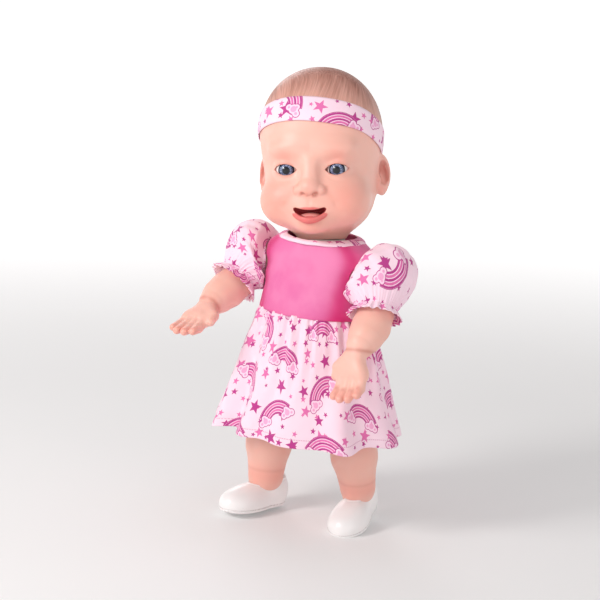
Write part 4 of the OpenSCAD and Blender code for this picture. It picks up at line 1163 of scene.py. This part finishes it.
def make_sleeve(side):
    """Puffed sleeve from the armhole seam on the bodice to a frill below the elastic at the cuff."""
    rows, frill_rows, cols = 96, 26, 280
    body_rows = rows - frill_rows
    ang = circle(cols)
    seed = 60 if side == "left" else 70
    mid, fine, frill = (smooth_noise(cols, count, seed + k) for k, count in enumerate((11, 40, 24)))
    r_arm = rot("x", -ARM_SWING[side])
    axis = r_arm @ unit(np.array([15, -19.5, -63.0]))
    cuff = r_arm @ np.array([75.2, -12.6, -26.0])
    start, n0 = np.array([45.5, 0.5, -1.0]), unit(np.array([1.0, 0, 0.08]))
    p1, p2 = start + n0 * 24 + np.array([0, 0, 4.0]), cuff - axis * 30 + np.array([2.0, 0, 2.0])
    grid = np.zeros((rows, cols, 3))
    run = [0.0]
    for r in range(rows):
        if r < body_rows:
            t = r / (body_rows - 1)
            c = (1 - t) ** 3 * start + 3 * (1 - t) ** 2 * t * p1 + 3 * (1 - t) * t * t * p2 + t**3 * cuff
            n = slerp(n0, axis, t**0.9)
            rad = np.interp(t, PUFF_AT, PUFF_RADII)
            gathers = math.exp(-t / 0.10) + 1.15 * math.exp(-(1 - t) / 0.14)
            w = 1.5 * mid * math.sin(math.pi * t) + fine * gathers
            w = w * (0.25 if r == 0 else 1)
        else:
            t = (r - body_rows + 1) / frill_rows
            c = cuff + axis * (t * 9.0)
            n = axis
            rad = 19.2 + 5.6 * t**1.3 - 0.7 * math.sin(math.pi * min(1, t * 4))
            w = frill * 2.5 * t + fine * 0.5 * (1 - t)
        up = unit(np.cross(n, np.array([0, 1.0, 0])))
        fwd = np.cross(up, n)
        grid[r] = c + (rad + w)[:, None] * (np.cos(ang)[:, None] * fwd + np.sin(ang)[:, None] * up)
        if r >= body_rows:
            grid[r] += axis * (0.8 * t * np.roll(frill, 9))[:, None]
        if r > 0:
            run.append(run[-1] + np.linalg.norm(grid[r] - grid[r - 1], axis=1).mean())
    run = np.array(run) / 1000
    grid[:, :, 0] += 3.0 * np.linspace(1, 0, rows)[:, None] ** 2
    # From the armhole seam on the bodice the cloth swells out into the puff.
    seam = np.stack([0 * ang, SEAM_R * np.cos(ang), SEAM_R * np.sin(ang)], -1)
    for r in range(body_rows):
        t = r / (body_rows - 1)
        share = min(t / 0.22, 1)
        k = share * share * (3 - 2 * share)
        edge = seam * (1 + 0.20 * math.sin(share * math.pi / 2))
        bodice = bodice_x(edge[:, 1] + AXIS_Y, edge[:, 2] + SHOULDER_Z, 2.4)
        edge[:, 0] = bodice + (0.0 if r == 0 else 0.8 + 70 * t)
        grid[r] = edge * (1 - k) + grid[r] * k
        if r > 0:
            bodice = bodice_x(grid[r, :, 1] + AXIS_Y, grid[r, :, 2] + SHOULDER_Z, 2.4)
            grid[r, :, 0] = np.maximum(grid[r, :, 0], bodice + 1.3)
    grid += np.array([0, AXIS_Y, SHOULDER_Z])
    if side == "right":
        grid[:, :, 0] *= -1
    uv = sheet_uv(cols + 1, 0.205, run)
    obj = thick_sheet(side + "_sleeve_cloth", grid, uv, print_mat["sleeve"], 0.8, flip=(side == "right"))
    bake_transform(obj)
    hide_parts(side + "_sleeve", side + "_cuff")


def make_placket():
    """The dress's back opening: a strip of the knit over the closing tape."""
    rows, cols = 40, 19
    for name, half, grow, low, high, mat, node, slot_name in (
        ("closing_tape", 6.0, 3.5, 214, 260, tape, "placket_tape", "tape_white"),
        ("placket_strip", 9.0, 4.6, 212, 264, knit, "dress_placket", "magenta_knit"),
    ):
        grid = np.zeros((rows, cols, 3))
        x = np.linspace(-half, half, cols)
        for r, z in enumerate(np.linspace(low, high, rows)):
            rx, ry, cy = torso_at(z)
            y = cy + (ry + grow) * np.sqrt(1 - (x / (rx + grow)) ** 2)
            y += 0.1 * np.sin(z * 0.5 + x) - 1.3 * (np.abs(x) / 9.0) ** 8
            grid[r] = np.stack([x, y, z + 0 * x], -1)
        uv = sheet_uv(cols, 2 * half / 1000, np.linspace(0, (high - low) / 1000, rows))
        # The same painted shade mask as the bodice, even over the strip.
        fold = np.full((rows, cols), 0.3)
        obj = thick_sheet(name, grid, uv, mat, 0.8, closed=False, attrs={"fold": fold}, flip=True)
        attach(obj, "torso")
        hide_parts(node)


knit = knit_material()
tape = part_material("closing_tape", rgb(244, 242, 244), rgb(226, 222, 228), rough=0.8, grain=1500.0, bump=0.5)
make_bodice()
make_skirt()
make_collar()
make_sleeve("left")
make_sleeve("right")
make_placket()

# ---- pieces kept from CAD
# Material, its two tones, what else differs from part_material's defaults, and the nodes.
KEPT = (
    ("shell_plastic", (236, 196, 176), (228, 184, 162), {}, "torso_front torso_back battery_door"),
    ("steel", (196, 198, 202), (160, 162, 168), {"metallic": 1.0, "rough": 0.35, "grain": 900.0},
     "torso_screws board_screws battery_door_screw button_spring"),
    ("button_plastic", (236, 120, 168), (224, 100, 152), {"rough": 0.3}, "press_button"),
    ("white_plastic", (240, 238, 234), (224, 222, 216), {},
     "button_retainer neck_plug left_arm_plug right_arm_plug left_leg_plug right_leg_plug "
     "left_eye_cup right_eye_cup"),
    ("board_green", (30, 104, 58), (20, 78, 44), {"rough": 0.4, "grain": 1200.0}, "circuit_board"),
    ("chip_black", (34, 34, 36), (54, 52, 54), {"rough": 0.5}, "chips speaker_cone switch_body switch_slider"),
    ("speaker_metal", (96, 98, 104), (70, 72, 78), {"metallic": 0.9, "rough": 0.45}, "speaker_frame"),
    ("cell_jacket", (64, 104, 150), (50, 84, 126), {"metallic": 0.4, "rough": 0.35}, "battery_cells"),
    ("contact_brass", (214, 180, 96), (178, 140, 66), {"metallic": 1.0, "rough": 0.35}, "battery_contacts"),
    ("wire_red", (190, 34, 34), (160, 24, 24), {"rough": 0.5}, "speaker_wires"),
    ("wire_black", (26, 26, 28), (44, 44, 46), {"rough": 0.5}, "battery_wires"),
    ("wire_blue", (36, 62, 168), (26, 46, 132), {"rough": 0.5}, "switch_wires"),
)
for name, tone_a, tone_b, look, nodes in KEPT:
    mat = part_material(name, rgb(*tone_a), rgb(*tone_b), **look)
    for node in nodes.split():
        slots = frame["nodes"][node].data.materials
        slots.clear()
        slots.append(mat)

# ---- floor
m = Mat("floor_paper")
p = m.object_place()
x, y, _ = m.xyz(p)
m.set(Base_Color=m.mix(m.noise(p, 3.0), (0.86, 0.85, 0.85), (0.84, 0.835, 0.835)), Roughness=0.75)
# It glows more with distance, so that it meets the white world without an edge.
m.set(Emission_Color=(1.0, 1.0, 1.0), Emission_Strength=length(x, y).step(0.5, 2.4) * 0.52 + 0.07)
m.set(Normal=m.bump(m.noise(p, 900.0), 0.05, 0.0002), Specular_IOR_Level=0.2)
outer = np.array([4.0, 5.5, 8.0, 12.0, 18.0, 26.0, 40.0])
lines = np.concatenate([-outer[::-1], np.linspace(-3, 3, 31), outer]) * 1000.0
pts = np.stack(np.meshgrid(lines, lines, [0.0]), -1).reshape(-1, 3)
# Far out the floor rises like a shallow bowl, so no view sees past its edge.
pts[:, 2] = 9e-6 * np.maximum(np.hypot(pts[:, 0], pts[:, 1]) - 3500.0, 0.0) ** 2
floor = make_mesh("floor", pts - SHIFT, grid_faces(len(lines), len(lines), False)[:, ::-1], m.material)
